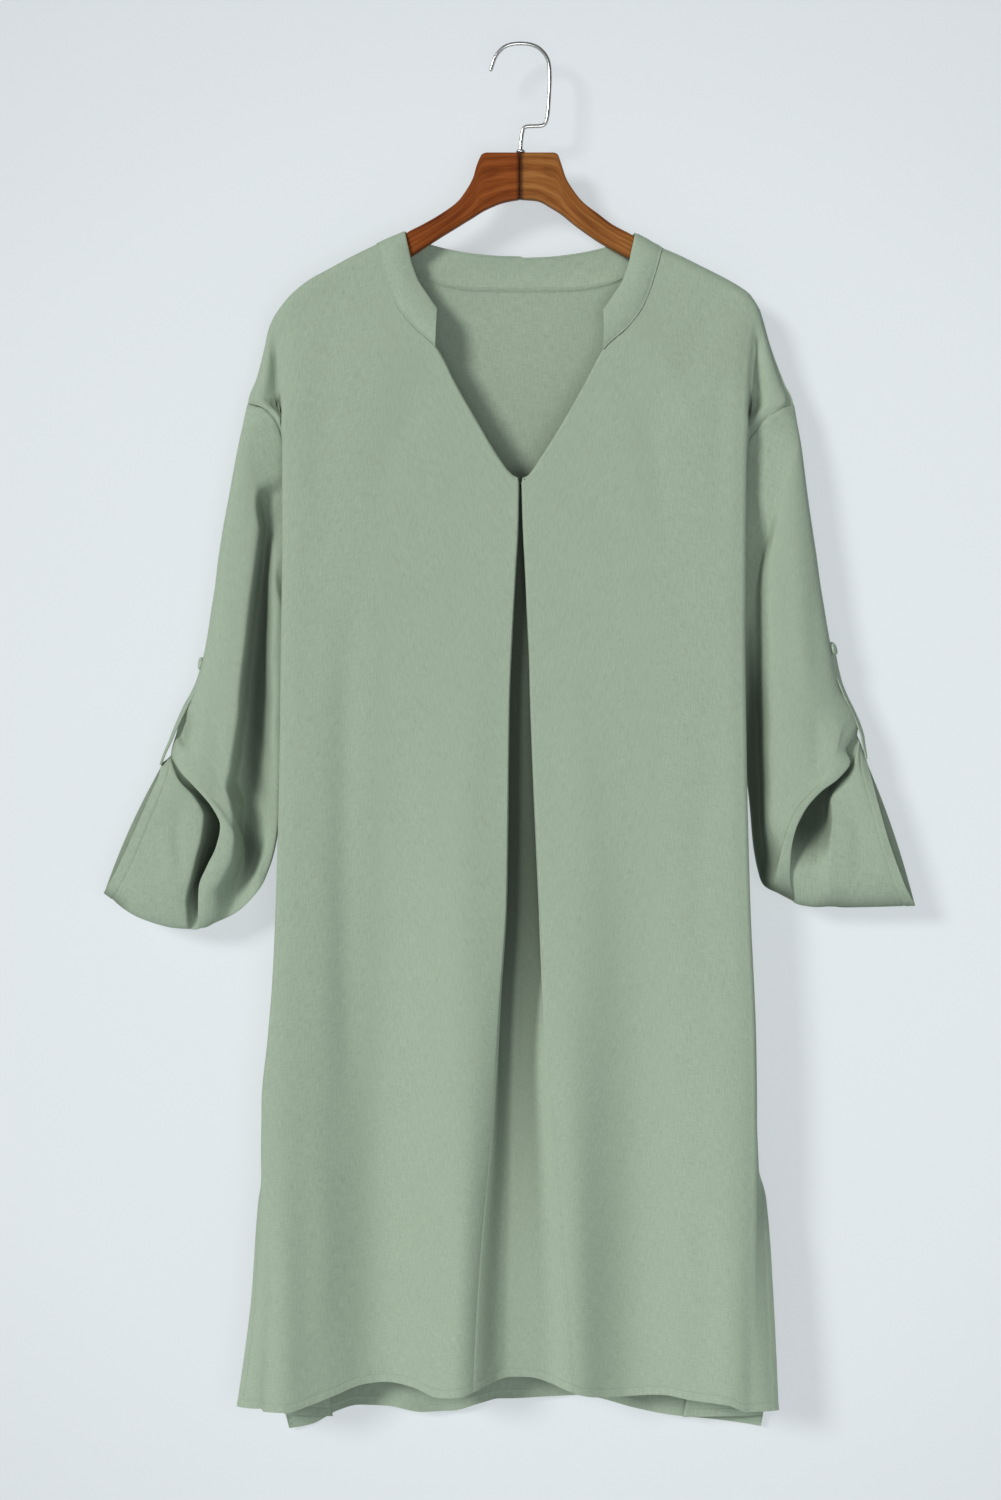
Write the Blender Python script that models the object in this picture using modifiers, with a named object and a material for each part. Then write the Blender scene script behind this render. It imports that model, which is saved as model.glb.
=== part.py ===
# Roll-tab sleeve dress on a wooden hanger, at real size.
# The origin is the inner top of the hook. X is to the right, -Y is the front, +Z is up.
# All the tables are in millimetres: "out" is the distance from the centre line, "down" is below
# the origin, "front" is towards the front and "back" is away from it.

import math
import bpy
import bmesh
import numpy as np

MM = 0.001
WALL = 1.2            # cloth with its seam allowances
GAP = 0.35            # between neighbouring pieces
ARM_RADIUS = 8.6      # cloth round the top of the hanger's arm
WIRE = 1.75           # half of the hook's wire
WOOD = 5.8            # half of the hanger's thickness
LEFT = -1.0
RIGHT = 1.0


# Curves and tables

def read(at, table, column=1):
    """Smooth curve through a table's column against its first column, with no overshoot."""
    rows = np.asarray(table, dtype=float)
    xs = rows[:, 0]
    ys = rows[:, column]
    h = np.diff(xs)
    d = np.diff(ys) / h
    m = np.empty_like(ys)
    m[0] = d[0]
    m[-1] = d[-1]
    same = d[:-1] * d[1:] > 0
    total = np.where(same, d[:-1] + d[1:], 1.0)
    m[1:-1] = np.where(same, 2 * d[:-1] * d[1:] / total, 0.0)
    at = np.clip(np.asarray(at, dtype=float), xs[0], xs[-1])
    k = np.clip(np.searchsorted(xs, at, side="right") - 1, 0, len(xs) - 2)
    t = (at - xs[k]) / h[k]
    a = (2 * t ** 3 - 3 * t ** 2 + 1) * ys[k] + (t ** 3 - 2 * t ** 2 + t) * h[k] * m[k]
    b = (3 * t ** 2 - 2 * t ** 3) * ys[k + 1] + (t ** 3 - t ** 2) * h[k] * m[k + 1]
    return a + b


def ease(t):
    t = np.clip(t, 0.0, 1.0)
    return t * t * (3 - 2 * t)


# Shoulder line: out, down. It runs on inside the neck band and ends at the hanger's tip.
SHOULDER = {
    LEFT: [(0, 112), (60, 139), (98, 157.5), (121, 169), (144, 180.3), (161, 189.6), (178, 198.9),
           (190, 208), (198, 216), (205, 225), (208, 229.5)],
    RIGHT: [(0, 112), (60, 140), (98, 160), (120, 172), (136, 179), (153, 187.5), (170, 196),
            (187, 205.7), (195.4, 212.1), (200.5, 219.7), (203.5, 225)],
}
NECK_OUT = {LEFT: 121.0, RIGHT: 120.0}
TIP_DOWN = {LEFT: 229.5, RIGHT: 225.0}
ARMHOLE_TOP = {LEFT: 304.0, RIGHT: 304.0}

# Top edge of the front between the shoulder and the V's point: out, down.
FRONT_NECK = {
    LEFT: [(0, 370), (6.3, 367.5), (16.8, 354.5), (35, 324.3), (53.7, 291.4), (71.4, 257.7),
           (88.2, 241.7), (103.3, 223.2), (114.3, 196.3), (121, 169)],
    RIGHT: [(0, 370), (6.1, 368), (17.1, 352.9), (35.6, 323.4), (54.1, 290.6), (72.7, 256.9),
            (88.7, 242.6), (103.8, 222.4), (113.9, 194.6), (120, 172)],
}
# Top edge of the back: out, down.
BACK_NECK = {
    LEFT: [(0, 205.6), (40, 204.8), (63, 201.5), (85, 194), (103, 183), (114, 174.8), (121, 169)],
    RIGHT: [(0, 205.6), (45, 205), (70, 201.5), (90, 194.5), (104, 185.8), (114, 177.8), (120, 172)],
}

# Hems: x, down.
FRONT_HEM = [(-240, 1151), (-214, 1154), (-194, 1154), (-176, 1149), (-155, 1142), (-134, 1135),
             (-112, 1133), (-90, 1136), (-69, 1140), (-50, 1142), (-29, 1133), (-7, 1127),
             (9, 1127), (24, 1130), (44, 1141), (57, 1143), (84, 1144), (121, 1142), (143, 1145),
             (175, 1148), (190, 1154), (220, 1154)]
BACK_HEM = [(-200, 1182), (-180, 1179), (-158, 1168), (-137, 1161), (-115, 1160), (-82, 1166),
            (-58, 1166), (-34, 1159), (-17, 1154), (45, 1154), (96, 1163), (137, 1169), (208, 1180)]

# How far the faces stand from the middle: down, distance.
FRONT_DEPTH = [(160, 8), (200, 12), (240, 17), (300, 22), (400, 26), (600, 29), (800, 31), (1180, 34)]
BACK_DEPTH = [(150, 9), (180, 12), (230, 16), (300, 18), (400, 20), (600, 23), (800, 26), (1200, 31)]

# Soft folds: x, half width, down where it starts, down where it is full, depth (minus is a ridge).
FRONT_FOLDS = [(-118, 46, 430, 1120, 14), (-48, 26, 430, 1120, -6), (-196, 16, 760, 1150, -3),
               (112, 44, 560, 1120, 9), (54, 26, 480, 1120, -5), (178, 18, 700, 1150, -3)]
BACK_FOLDS = [(-104, 40, 420, 1150, 9), (-12, 34, 520, 1150, 7), (66, 26, 380, 1100, -4),
              (128, 36, 600, 1150, 8), (-158, 24, 500, 1100, -4)]

# Side strip of the front, from the fold line back to the outer edge:
# down, fold out, middle out, middle front, edge out, edge front.
FRONT_SIDE = {
    LEFT: [(229.5, 208, 208.2, 0.5, 208.4, 0.2), (240, 206.5, 209.3, 7, 213, 0.8),
           (261, 205, 209, 6, 218, 0.8), (282, 203, 208.5, 5.5, 223.5, 0.8),
           (304, 201.2, 208, 7, 231, 0.8), (309, 201, 206.5, 9.5, 217.5, 5),
           (317, 200.6, 204.8, 12.5, 208.7, 9), (327, 200.3, 202.3, 15.5, 203.4, 11.5),
           (345, 200, 199.8, 18, 198, 12.5), (380, 200, 198.5, 18.5, 192, 12),
           (430, 200, 197, 18.5, 188, 11.5), (480, 200.6, 196, 17.5, 185, 9),
           (497, 200.8, 196, 16.5, 184.2, 5.5), (506, 201, 196, 15.5, 184, 0.9),
           (600, 202, 197, 16, 178, 0.9), (725, 205, 200, 16, 180, 0.9),
           (792, 208, 203, 16, 184, 0.9), (842, 212, 207, 16, 189, 0.9),
           (897, 217, 212, 17, 196, 0.9), (935, 217, 216, 20, 206, 7),
           (977, 214, 218.5, 25, 220, 15), (1061, 212, 220, 30, 226, 22),
           (1153, 215, 227, 33, 238, 26)],
    RIGHT: [(225, 203.5, 203.7, 0.5, 203.9, 0.2), (240, 198.5, 202, 7, 208, 0.8),
            (261, 195.5, 200, 6, 214.5, 0.8), (288, 193, 199, 5.5, 225, 0.8),
            (304, 192, 199, 7, 232, 0.8), (310, 191.6, 198.5, 9, 220, 5),
            (316, 191.3, 198, 11, 210, 8), (326, 191, 195.5, 15, 201, 11),
            (336, 190.6, 192.8, 17.5, 192.5, 12.5), (345, 190.3, 191.2, 18, 190, 12.5),
            (380, 190, 189.3, 18.5, 185, 12), (430, 189.6, 187.5, 18.5, 181, 11.5),
            (480, 189.2, 186.5, 17.5, 178, 9), (497, 189, 186, 16.5, 177.2, 5.5),
            (506, 189, 186, 15.5, 177, 0.9), (600, 190, 186, 16, 171, 0.9),
            (725, 193, 189, 16, 174, 0.9), (850, 198, 193, 16, 178, 0.9),
            (901, 198.5, 195, 17, 184, 0.9), (943, 198.5, 200, 21, 196, 9),
            (977, 198, 202, 25, 207, 17), (1061, 196, 203, 29, 213, 23),
            (1153, 194, 206, 32, 217, 27)],
}
# The same for the back; its strips turn in and forwards below the slits.
BACK_SIDE = {
    LEFT: [(229.5, 208, 208.2, 0.5, 208.4, 0.2), (240, 206.8, 210.5, 5, 213, 0.8),
           (261, 206, 213.5, 6, 218, 0.8), (282, 205, 217, 7, 223.5, 0.8),
           (304, 204, 220, 8, 231, 0.8), (309, 203.5, 213, 10, 219, 4.5),
           (317, 202.5, 208, 12, 210.5, 8.5), (327, 202, 204.3, 15, 205, 11.5),
           (345, 201, 201, 15.8, 199, 12.5), (380, 200, 198.5, 15.8, 192.5, 12),
           (430, 199, 196, 15.5, 188, 11), (480, 199, 195, 14.5, 185, 8.5),
           (497, 199, 195, 13.5, 184.2, 5.2), (506, 199, 195, 13, 184, 0.9),
           (600, 199, 195, 13.5, 178, 0.9), (725, 200, 196, 13.5, 180, 0.9),
           (792, 202, 198, 13.5, 184, 0.9), (842, 205, 202, 13.5, 189, 0.9),
           (897, 208, 206, 14, 196, 0.9), (935, 206, 206, 16, 196, 4),
           (977, 203, 203, 18, 190, 8), (1061, 200, 200, 20, 175, 12),
           (1182, 198, 196, 20, 158, 16)],
    RIGHT: [(225, 203.5, 203.7, 0.5, 203.9, 0.2), (240, 199, 203, 5, 208, 0.8),
            (261, 197, 205, 6, 214.5, 0.8), (288, 195, 210, 7, 225, 0.8),
            (304, 194, 213, 8, 232, 0.8), (310, 193.5, 206.5, 10, 221, 4.5),
            (318, 193, 201.5, 12.5, 210, 8.5), (328, 192, 196.8, 14.8, 200, 11.5),
            (345, 191, 191.8, 16, 191, 12.5), (380, 190, 188.8, 15.8, 185, 12),
            (430, 189, 186.5, 15.5, 181, 11), (480, 188.5, 185.5, 14.3, 178, 8.5),
            (497, 188, 185, 13.5, 177.2, 5.2), (506, 188, 185, 13, 177, 0.9),
            (600, 187, 183.5, 13.5, 171, 0.9), (725, 189, 186, 13.5, 174, 0.9),
            (850, 194, 190, 13.5, 178, 0.9), (901, 196, 193, 14, 184, 0.9),
            (943, 197, 196, 16, 186, 4), (977, 199, 197, 18, 180, 8),
            (1061, 203, 198, 20, 160, 12), (1182, 207, 196, 21, 137, 17)],
}

# Inverted box pleat: down, left fold out, right fold out. The underlay keeps its width.
PLEAT = [(360, 1.1, 1.1), (408, 1.8, 2.4), (450, 4, 4.5), (484, 5.9, 6), (526, 8, 7.9),
         (556, 9.1, 8.6), (724, 11.6, 16.1), (808, 17.4, 21.1), (934, 25, 31), (1136, 46, 46),
         (1190, 47, 48)]
UNDERLAY = 93.0
PLEAT_TOP = 374.0
# One side of the pleat, from the fold edge to the centre. The folded shape is measured from the
# fold edge as a share of the hidden depth plus a step; the open one is a share of the edge's out.
# share of hidden, step, back, open share of edge, open back
PLEAT_SHAPE = [(0, 1.3, 0.4, 0.98, 1.5), (0, 0, 1.5, 0.955, 3.5), (0, 1.3, 2.7, 0.90, 6.5),
               (0.5, 0, 2.9, 0.79, 11), (1, -1.2, 3.1, 0.67, 15.5), (1, 0, 4.4, 0.55, 19),
               (1, -1.2, 5.7, 0.43, 22), (0.45, 0, 6.0, 0.22, 25), (0, 0, 6.1, 0.0, 26)]

# Sleeve sections: station, outer out, outer down, inner out, inner down, front, back, bend to the
# body at the front, bend at the back, place of the valley, its depth.
SLEEVE = {
    LEFT: [(1, 239.3, 342.1, 190, 529.1, 13, 12, 0, 0, 0.36, 9),
           (2, 249.5, 399.1, 193, 560.6, 17, 15, 0, 0, 0.42, 13),
           (3, 259.7, 462.8, 197, 597.1, 19, 16, 0, 0, 0.50, 14),
           (4, 269, 518.1, 202, 637.1, 20, 16, 0, 0, 0.56, 10),
           (5, 271.3, 553.5, 208, 679.6, 20, 15, 0, 2, 0.60, 3),
           (6, 285, 574.5, 219.5, 711, 20, 14, 12, 5, 0.62, 0),
           (7, 293, 595.5, 242.5, 737.4, 25, 14, 26, 8, 0.5, 0),
           (7.5, 296.5, 599.5, 257, 745, 23, 13, 24, 8, 0.5, 0),
           (8, 299, 602, 271.6, 752.7, 6, 13, 18, 6, 0.5, 0),
           (9, 301.4, 607, 305.6, 747.6, 14, 12, 7, 0, 0.5, 0),
           (10, 303.9, 611.6, 351.5, 722.1, 13, 11, -2, -4, 0.5, 0)],
    RIGHT: [(1, 238.4, 339.6, 184, 529.1, 13, 12, 0, 0, 0.62, 10),
            (2, 244.4, 386.3, 186.5, 560.6, 17, 15, 0, 0, 0.68, 13),
            (3, 254.6, 454.3, 190, 598.8, 19, 16, 0, 0, 0.70, 13),
            (4, 262.6, 505.3, 195, 641.3, 20, 16, 0, 0, 0.68, 9),
            (5, 267.5, 544, 199, 683.8, 20, 15, 0, 2, 0.66, 3),
            (6, 279.5, 569.1, 210, 713.6, 20, 14, 10, 5, 0.64, 0),
            (7, 287.7, 588.6, 234.2, 728.9, 25, 14, 20, 8, 0.5, 0),
            (7.5, 288.4, 594, 249, 731, 23, 13, 18, 8, 0.5, 0),
            (8, 289.2, 598.8, 265.6, 732, 6, 13, 12, 6, 0.5, 0),
            (9, 290.3, 603.1, 297.9, 732.3, 14, 12, 4, 0, 0.5, 0),
            (10, 291.6, 606.6, 330.2, 724.6, 13, 11, -2, -4, 0.5, 0)],
}
SLEEVE_STATIONS = [0, 0.3, 0.65, 1, 1.5, 2, 2.5, 3, 3.5, 4, 4.5, 5, 5.5, 6, 6.5, 7, 7.5, 7.75, 8,
                   8.5, 9, 9.5, 10]
# Points across a sleeve section, from its outer edge to the underarm, as shares.
SLEEVE_ACROSS = [0, 0.02, 0.05, 0.092, 0.134, 0.24, 0.38, 0.54, 0.7, 0.84, 0.93, 0.975, 1]

# Top edge of the neck band beside each point of its seam: seam out, top out, top down.
BAND_TOP_FRONT = [(70, 70, 226.5), (79.5, 74, 220.5), (88.2, 78, 214.5), (96, 82, 208.5),
                  (103.3, 85.9, 202.5), (109.6, 89.2, 194.5), (114.3, 92, 186.5),
                  (117.8, 94.6, 175), (119.8, 96.6, 165.5), (121.2, 98, 157.9)]
BAND_TOP_BACK = [(0, 0, 177.8), (18, 18, 177.4), (40, 39, 175.6), (63, 60, 172.2), (85, 77, 167.8),
                 (103, 86, 164.6), (114, 91.5, 161.6), (118.6, 95.4, 159.4), (121.2, 98, 157.9)]

# Roll tabs: out, down, from the button to the cuff.
TAB = {
    LEFT: [(270.9, 520), (272.4, 530), (275.6, 540.5), (281, 552), (287.4, 563.5), (292, 574),
           (296, 583.5), (300, 594), (304.4, 604), (306.6, 611.5)],
    RIGHT: [(264.9, 511), (266.9, 521), (269.7, 532), (274, 544), (280, 556.5), (285, 567),
            (289.8, 578), (292, 588), (293.6, 598), (294.6, 606.5)],
}
TAB_WIDTH = 14.0
TAB_THICK = 1.3
BUTTON_RADIUS = 5.3
BUTTON_THICK = 2.4

# Hanger half: out, upper edge down, lower edge down.
HANGER = {
    LEFT: [(0.2, 91.4, 130.9), (14, 91.4, 133.6), (28, 91.4, 139.2), (32, 92.6, 141.3),
           (36.4, 101, 144), (40, 113, 146.4), (46, 123.8, 150), (53, 133, 154.4),
           (65.5, 142.4, 162), (80.7, 151.4, 171.8), (95.6, 158.9, 181.4), (121, 171.5, 194.5),
           (144, 182.8, 205.5), (161, 192.1, 213.5), (178, 201.7, 219), (188, 209.3, 220.6),
           (193.5, 214, 220.3), (196.5, 217, 219.4)],
    RIGHT: [(0.2, 91.4, 130.9), (14, 91.4, 132), (28, 91.4, 139), (31.6, 92.6, 141.2),
            (35, 101, 143.5), (39, 113, 146.6), (45.5, 123.7, 152), (53, 133, 157.6),
            (66.7, 143.7, 167), (78.6, 152.6, 173.8), (93.9, 160.6, 182), (121, 174.9, 195.5),
            (136, 181.8, 202.5), (153, 190.2, 210), (170, 198.8, 217), (184, 206.8, 220.6),
            (190.5, 212, 220.4), (194.5, 216, 219.4)],
}
# Hook's centre line: x, z.
HOOK = [(-24.8, -20.6), (-23.1, -15), (-20.9, -9.6), (-17.5, -4.8), (-12.5, -0.7), (-6.8, 1.2),
        (-0.2, 1.8), (7, 1.3), (14, -0.9), (19.2, -5), (22.8, -10.1), (24.5, -15), (25.2, -20.6),
        (25.4, -29.1), (24.9, -39.7), (24.3, -50.2), (23.4, -59.4), (22.4, -64.1), (20.6, -67.2),
        (17.4, -68.3), (11.5, -68.5), (6.9, -68.6), (4.1, -69.3), (2.5, -71.4), (1.8, -74.9),
        (1, -80.6), (0.6, -85.5), (0.5, -90.9)]


# Depth of the cloth

def bumps(x, down, folds):
    total = np.zeros(np.broadcast(x, down).shape)
    for place, half, start, full, deep in folds:
        across = np.exp(-((x - place) / half) ** 2)
        total = total + deep * across * ease((down - start) / (full - start))
    return total


def face_depth(x, down, side, depths, folds):
    """Distance of a face from the middle: it wraps the hanger's arm, then hangs."""
    line = read(np.abs(x), SHOULDER[side])
    below = np.maximum(down - line, 0.0) * 0.87
    bend = np.clip(below / ARM_RADIUS, 0.0, 1.0)
    wrap = ARM_RADIUS * np.sqrt(np.maximum(1 - (1 - bend) ** 2, 0.0))
    hang = read(down, depths)
    return wrap + (hang - ARM_RADIUS) * ease(below / 90.0) - bumps(x, down, folds)


def front_depth(x, down, side):
    return face_depth(x, down, side, FRONT_DEPTH, FRONT_FOLDS)


def back_depth(x, down, side):
    return face_depth(x, down, side, BACK_DEPTH, BACK_FOLDS)


# Panels: columns run down the cloth, each column is read at its own heights

TOP_STEPS = [0.0, 1.4, 5.0, 10.0]


def column_downs(top, bottom, shares):
    steps = [top + s for s in TOP_STEPS]
    start = steps[-1]
    return np.array(steps + [start + (bottom - start) * s for s in shares])


FRONT_SHARES = [0.01, 0.02, 0.045, 0.08, 0.125, 0.18, 0.24, 0.305, 0.37, 0.44, 0.51, 0.58, 0.65, 0.715,
                0.78, 0.84, 0.895, 0.95, 1.0]
BACK_SHARES = [0.01, 0.02, 0.045, 0.08, 0.13, 0.18, 0.24, 0.31, 0.39, 0.47, 0.55, 0.63, 0.71, 0.78, 0.85,
               0.92, 1.0]
OUTER_SHARES = [1, 0.965, 0.9, 0.8, 0.69]
FRONT_NECK_STEPS = [0, 0.7, 1.7, 3.6, 7.5, 14, 24, 36, 49]
FRONT_INNER = [54, 36, 20, 7]
BACK_NECK_STEPS = [0, 1.5, 4, 8, 18, 36, 62]
BACK_INNER = [30]
STRIP = [1.0, 0.82, 0.62, 0.42, 0.2]


def strip_column(share, side, table, hem, shares, sign, depth_at):
    """Column of the side strip; its top lies on the drop shoulder's edge."""
    tip = TIP_DOWN[side]
    top = tip + (ARMHOLE_TOP[side] - tip) * share
    bottom = hem(side * read(1200, table, 4), side)
    downs = column_downs(top, bottom, shares)
    reach = np.clip((downs - tip) / (ARMHOLE_TOP[side] - tip), share, 1.0)
    q = share / reach
    fold = read(downs, table, 1)
    fold_y = depth_at(side * fold, downs, side) - 1.5
    middle_x = 2 * read(downs, table, 2) - 0.5 * (fold + read(downs, table, 4))
    middle_y = 2 * read(downs, table, 3) - 0.5 * (fold_y + read(downs, table, 5))
    a, b, c = (1 - q) ** 2, 2 * q * (1 - q), q * q
    x = side * (a * fold + b * middle_x + c * read(downs, table, 4))
    y = sign * (a * fold_y + b * middle_y + c * read(downs, table, 5))
    return x, y, -downs


def column_outs(side, table, steps, inner):
    """Where the columns of one half start at the top, from the fold line to the centre."""
    outs = [table[0][1] * share for share in OUTER_SHARES]
    outs += [NECK_OUT[side] - step for step in steps]
    return outs + inner


def main_column(out, side, table, neck, hem, shares, sign, depth_at, inner=None):
    """Column of a face; its top lies on the shoulder line or on the neck's edge."""
    if out >= NECK_OUT[side]:
        top = float(read(out, SHOULDER[side]))
    else:
        top = float(read(out, neck)) + GAP
    inner_top = 0.0 if inner is None else float(inner(top))
    share = (out - inner_top) / (float(read(top, table, 1)) - inner_top)
    foot = side * read(1200, table, 1) * share
    downs = column_downs(top, hem(foot, side), shares)
    fold = read(downs, table, 1)
    start = 0.0 if inner is None else inner(downs)
    x = side * (start + (fold - start) * share)
    y = depth_at(x, downs, side) - 1.5 * ease((share - 0.93) / 0.07)
    y = np.maximum(y, 0.55)
    return x, sign * y, -downs


def pleat_edge(side, downs):
    return read(downs, PLEAT, 1 if side == LEFT else 2)


def pleat_column(row, side, hem, shares):
    share, step, back, open_share, open_back = row
    top = 370.6 if share == 0 and back < 2 else PLEAT_TOP
    foot = side * open_share * pleat_edge(side, np.array([1140.0]))[0]
    downs = column_downs(top, hem(foot, side), shares)
    edge = pleat_edge(side, downs)
    both = pleat_edge(LEFT, downs) + pleat_edge(RIGHT, downs)
    hidden = np.maximum((UNDERLAY - both) / 2, 6.0)
    spread = ease((downs - 700) / 440.0)
    if open_share == 0.0:
        closed_x = np.zeros_like(downs)
    elif share == 0.45:
        closed_x = (edge + hidden) * 0.5
    else:
        closed_x = edge + share * hidden + step
    x = closed_x * (1 - spread) + edge * open_share * spread
    behind = back * (1 - spread) + open_back * spread
    y = -(front_depth(side * x * 0.999, downs, side) - behind)
    return side * x, y, -downs


def front_hem(x, side):
    return float(read(x, FRONT_HEM))


def back_hem(x, side):
    return float(read(x, BACK_HEM))


def front_grid():
    columns = []
    for side in (LEFT, RIGHT):
        def inner(downs, s=side):
            return pleat_edge(s, downs)
        half = []
        for share in STRIP:
            half.append(strip_column(share, side, FRONT_SIDE[side], front_hem, FRONT_SHARES, -1.0,
                                     front_depth))
        for out in column_outs(side, FRONT_SIDE[side], FRONT_NECK_STEPS, FRONT_INNER):
            half.append(main_column(out, side, FRONT_SIDE[side], FRONT_NECK[side], front_hem,
                                    FRONT_SHARES, -1.0, front_depth, inner))
        rows = PLEAT_SHAPE if side == LEFT else PLEAT_SHAPE[:-1]
        for row in rows:
            half.append(pleat_column(row, side, front_hem, FRONT_SHARES))
        if side == RIGHT:
            half.reverse()
        columns.extend(half)
    return np.array([np.stack(c, axis=-1) for c in columns])


def back_grid():
    columns = []
    for side in (LEFT, RIGHT):
        half = []
        for share in STRIP:
            half.append(strip_column(share, side, BACK_SIDE[side], back_hem, BACK_SHARES, 1.0,
                                     back_depth))
        for out in column_outs(side, BACK_SIDE[side], BACK_NECK_STEPS, BACK_INNER):
            half.append(main_column(out, side, BACK_SIDE[side], BACK_NECK[side], back_hem,
                                    BACK_SHARES, 1.0, back_depth))
        if side == LEFT:
            half.append(main_column(0.0, side, BACK_SIDE[side], BACK_NECK[side], back_hem,
                                    BACK_SHARES, 1.0, back_depth))
        if side == RIGHT:
            half.reverse()
        columns.extend(half)
    return np.array([np.stack(c, axis=-1) for c in columns])


# Neck band

def band_grid():
    rows = []
    for side in (LEFT, RIGHT):
        half = []
        for step in reversed([0.1] + FRONT_NECK_STEPS[1:]):
            half.append(band_row(side, NECK_OUT[side] - step, FRONT_NECK[side], BAND_TOP_FRONT, -1.0,
                                 front_depth))
        for out in [NECK_OUT[side] - step for step in [0.1] + BACK_NECK_STEPS[1:]] + [30, 0]:
            half.append(band_row(side, out, BACK_NECK[side], BAND_TOP_BACK, 1.0,
                                 back_depth))
        if side == RIGHT:
            half.reverse()
            half = half[1:]
        rows.extend(half)
    return np.array(rows)


def band_row(side, seam_x, neck, tops, sign, depth_at):
    """Points across the band beside one point of its seam."""
    seam_d = float(read(seam_x, neck))
    place = seam_x + (NECK_OUT[LEFT] - NECK_OUT[side]) * ease(seam_x / 60.0)
    top_x = float(read(place, tops, 1))
    top_d = float(read(place, tops, 2)) + (0.0 if side == LEFT else 1.2)
    points = []
    for t in (0.0, 0.33, 0.67, 1.0):
        x = seam_x + (top_x - seam_x) * t
        d = seam_d + (top_d - seam_d) * t
        over = float(read(x, SHOULDER[side]))
        d = max(d, over)
        lean = 2.0 * math.sin(math.pi * t)
        y = float(depth_at(side * x, d, side)) + lean * min(1.0, (d - over) / 20.0)
        points.append((side * x, sign * max(y, 0.55), -d))
    points = np.array(points)
    away = points[3] - points[0]
    points[0] = points[0] + away / np.linalg.norm(away) * 0.6
    return points


# Sleeves

def armhole_point(side, q, front):
    """Point of the armhole's edge, moved off it into the sleeve's own seam line."""
    table = FRONT_SIDE[side] if front else BACK_SIDE[side]
    top = ARMHOLE_TOP[side]
    down = top + (506.0 - top) * q
    out = float(read(down, table, 4))
    y = float(read(down, table, 5))
    seen = 1 - ease((down - 318) / 40.0)
    low = ease((q - 0.72) / 0.28)
    out = out + 1.3 * seen + 3.0 * low
    down = down + 1.6 * seen + 1.0 * low
    y = max(y - 2.2 * (1 - seen) - 0.8 * low, 0.0) if q < 1 else 0.0
    if q <= 0:
        y = 0.0
    return np.array((side * out, -y if front else y, -down))


def sleeve_value(side, station, column):
    return float(read(station, SLEEVE[side], column))


def sleeve_point(side, station, q, bulge, front):
    ox, od = sleeve_value(side, station, 1), sleeve_value(side, station, 2)
    ix, inner_d = sleeve_value(side, station, 3), sleeve_value(side, station, 4)
    out = ox + (ix - ox) * q
    down = od + (inner_d - od) * q
    hump = 4 * q * (1 - q)
    if front:
        out = out - sleeve_value(side, station, 7) * hump
        valley = sleeve_value(side, station, 10)
        place = sleeve_value(side, station, 9)
        y = -(sleeve_value(side, station, 5) * bulge ** (0.75 + 0.9 * ease((q - 0.45) / 0.4)))
        y = y + valley * math.exp(-((q - place) / 0.13) ** 2)
    else:
        out = out - sleeve_value(side, station, 8) * hump
        y = sleeve_value(side, station, 6) * bulge ** (0.8 + 0.8 * ease((q - 0.45) / 0.4))
    return np.array((side * out, y, -down))


def sleeve_grid(side):
    rings = []
    for station in SLEEVE_STATIONS:
        ring = []
        around = [(q, True) for q in SLEEVE_ACROSS]
        around += [(q, False) for q in reversed(SLEEVE_ACROSS[1:-1])]
        for q, front in around:
            bulge = 2 * math.sqrt(q * (1 - q))
            if station < 1:
                edge = armhole_point(side, q, front)
                first = sleeve_point(side, 1.0, q, bulge, front)
                ring.append(edge + (first - edge) * station)
            else:
                ring.append(sleeve_point(side, station, q, bulge, front))
        rings.append(ring)
    return np.array(rings)


# Making the objects

def material(name, colour, roughness, metallic=0.0):
    made = bpy.data.materials.new(name)
    made.use_nodes = True
    shader = made.node_tree.nodes["Principled BSDF"]
    shader.inputs["Base Color"].default_value = (*colour, 1.0)
    shader.inputs["Roughness"].default_value = roughness
    shader.inputs["Metallic"].default_value = metallic
    return made


def add_mesh(name, vertices, faces, look, folder, smooth=True):
    mesh = bpy.data.meshes.new(name)
    mesh.from_pydata([tuple(v) for v in vertices], [], faces)
    mesh.validate()
    mesh.materials.append(look)
    if smooth:
        mesh.shade_smooth()
    made = bpy.data.objects.new(name, mesh)
    folder.objects.link(made)
    return made


def add_shell(name, grid, look, folder, thick=WALL, ring=False, flip=False):
    """Open surface from a grid of points, given its thickness by Solidify."""
    rows, across = grid.shape[0], grid.shape[1]
    faces = []
    for i in range(rows - 1):
        for j in range(across if ring else across - 1):
            k = (j + 1) % across
            face = (i * across + j, i * across + k, (i + 1) * across + k, (i + 1) * across + j)
            faces.append(tuple(reversed(face)) if flip else face)
    made = add_mesh(name, grid.reshape(-1, 3) * MM, faces, look, folder)
    solid = made.modifiers.new("Thickness", "SOLIDIFY")
    solid.thickness = thick * MM
    solid.offset = 0.0
    solid.use_even_offset = False
    return made


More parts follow.
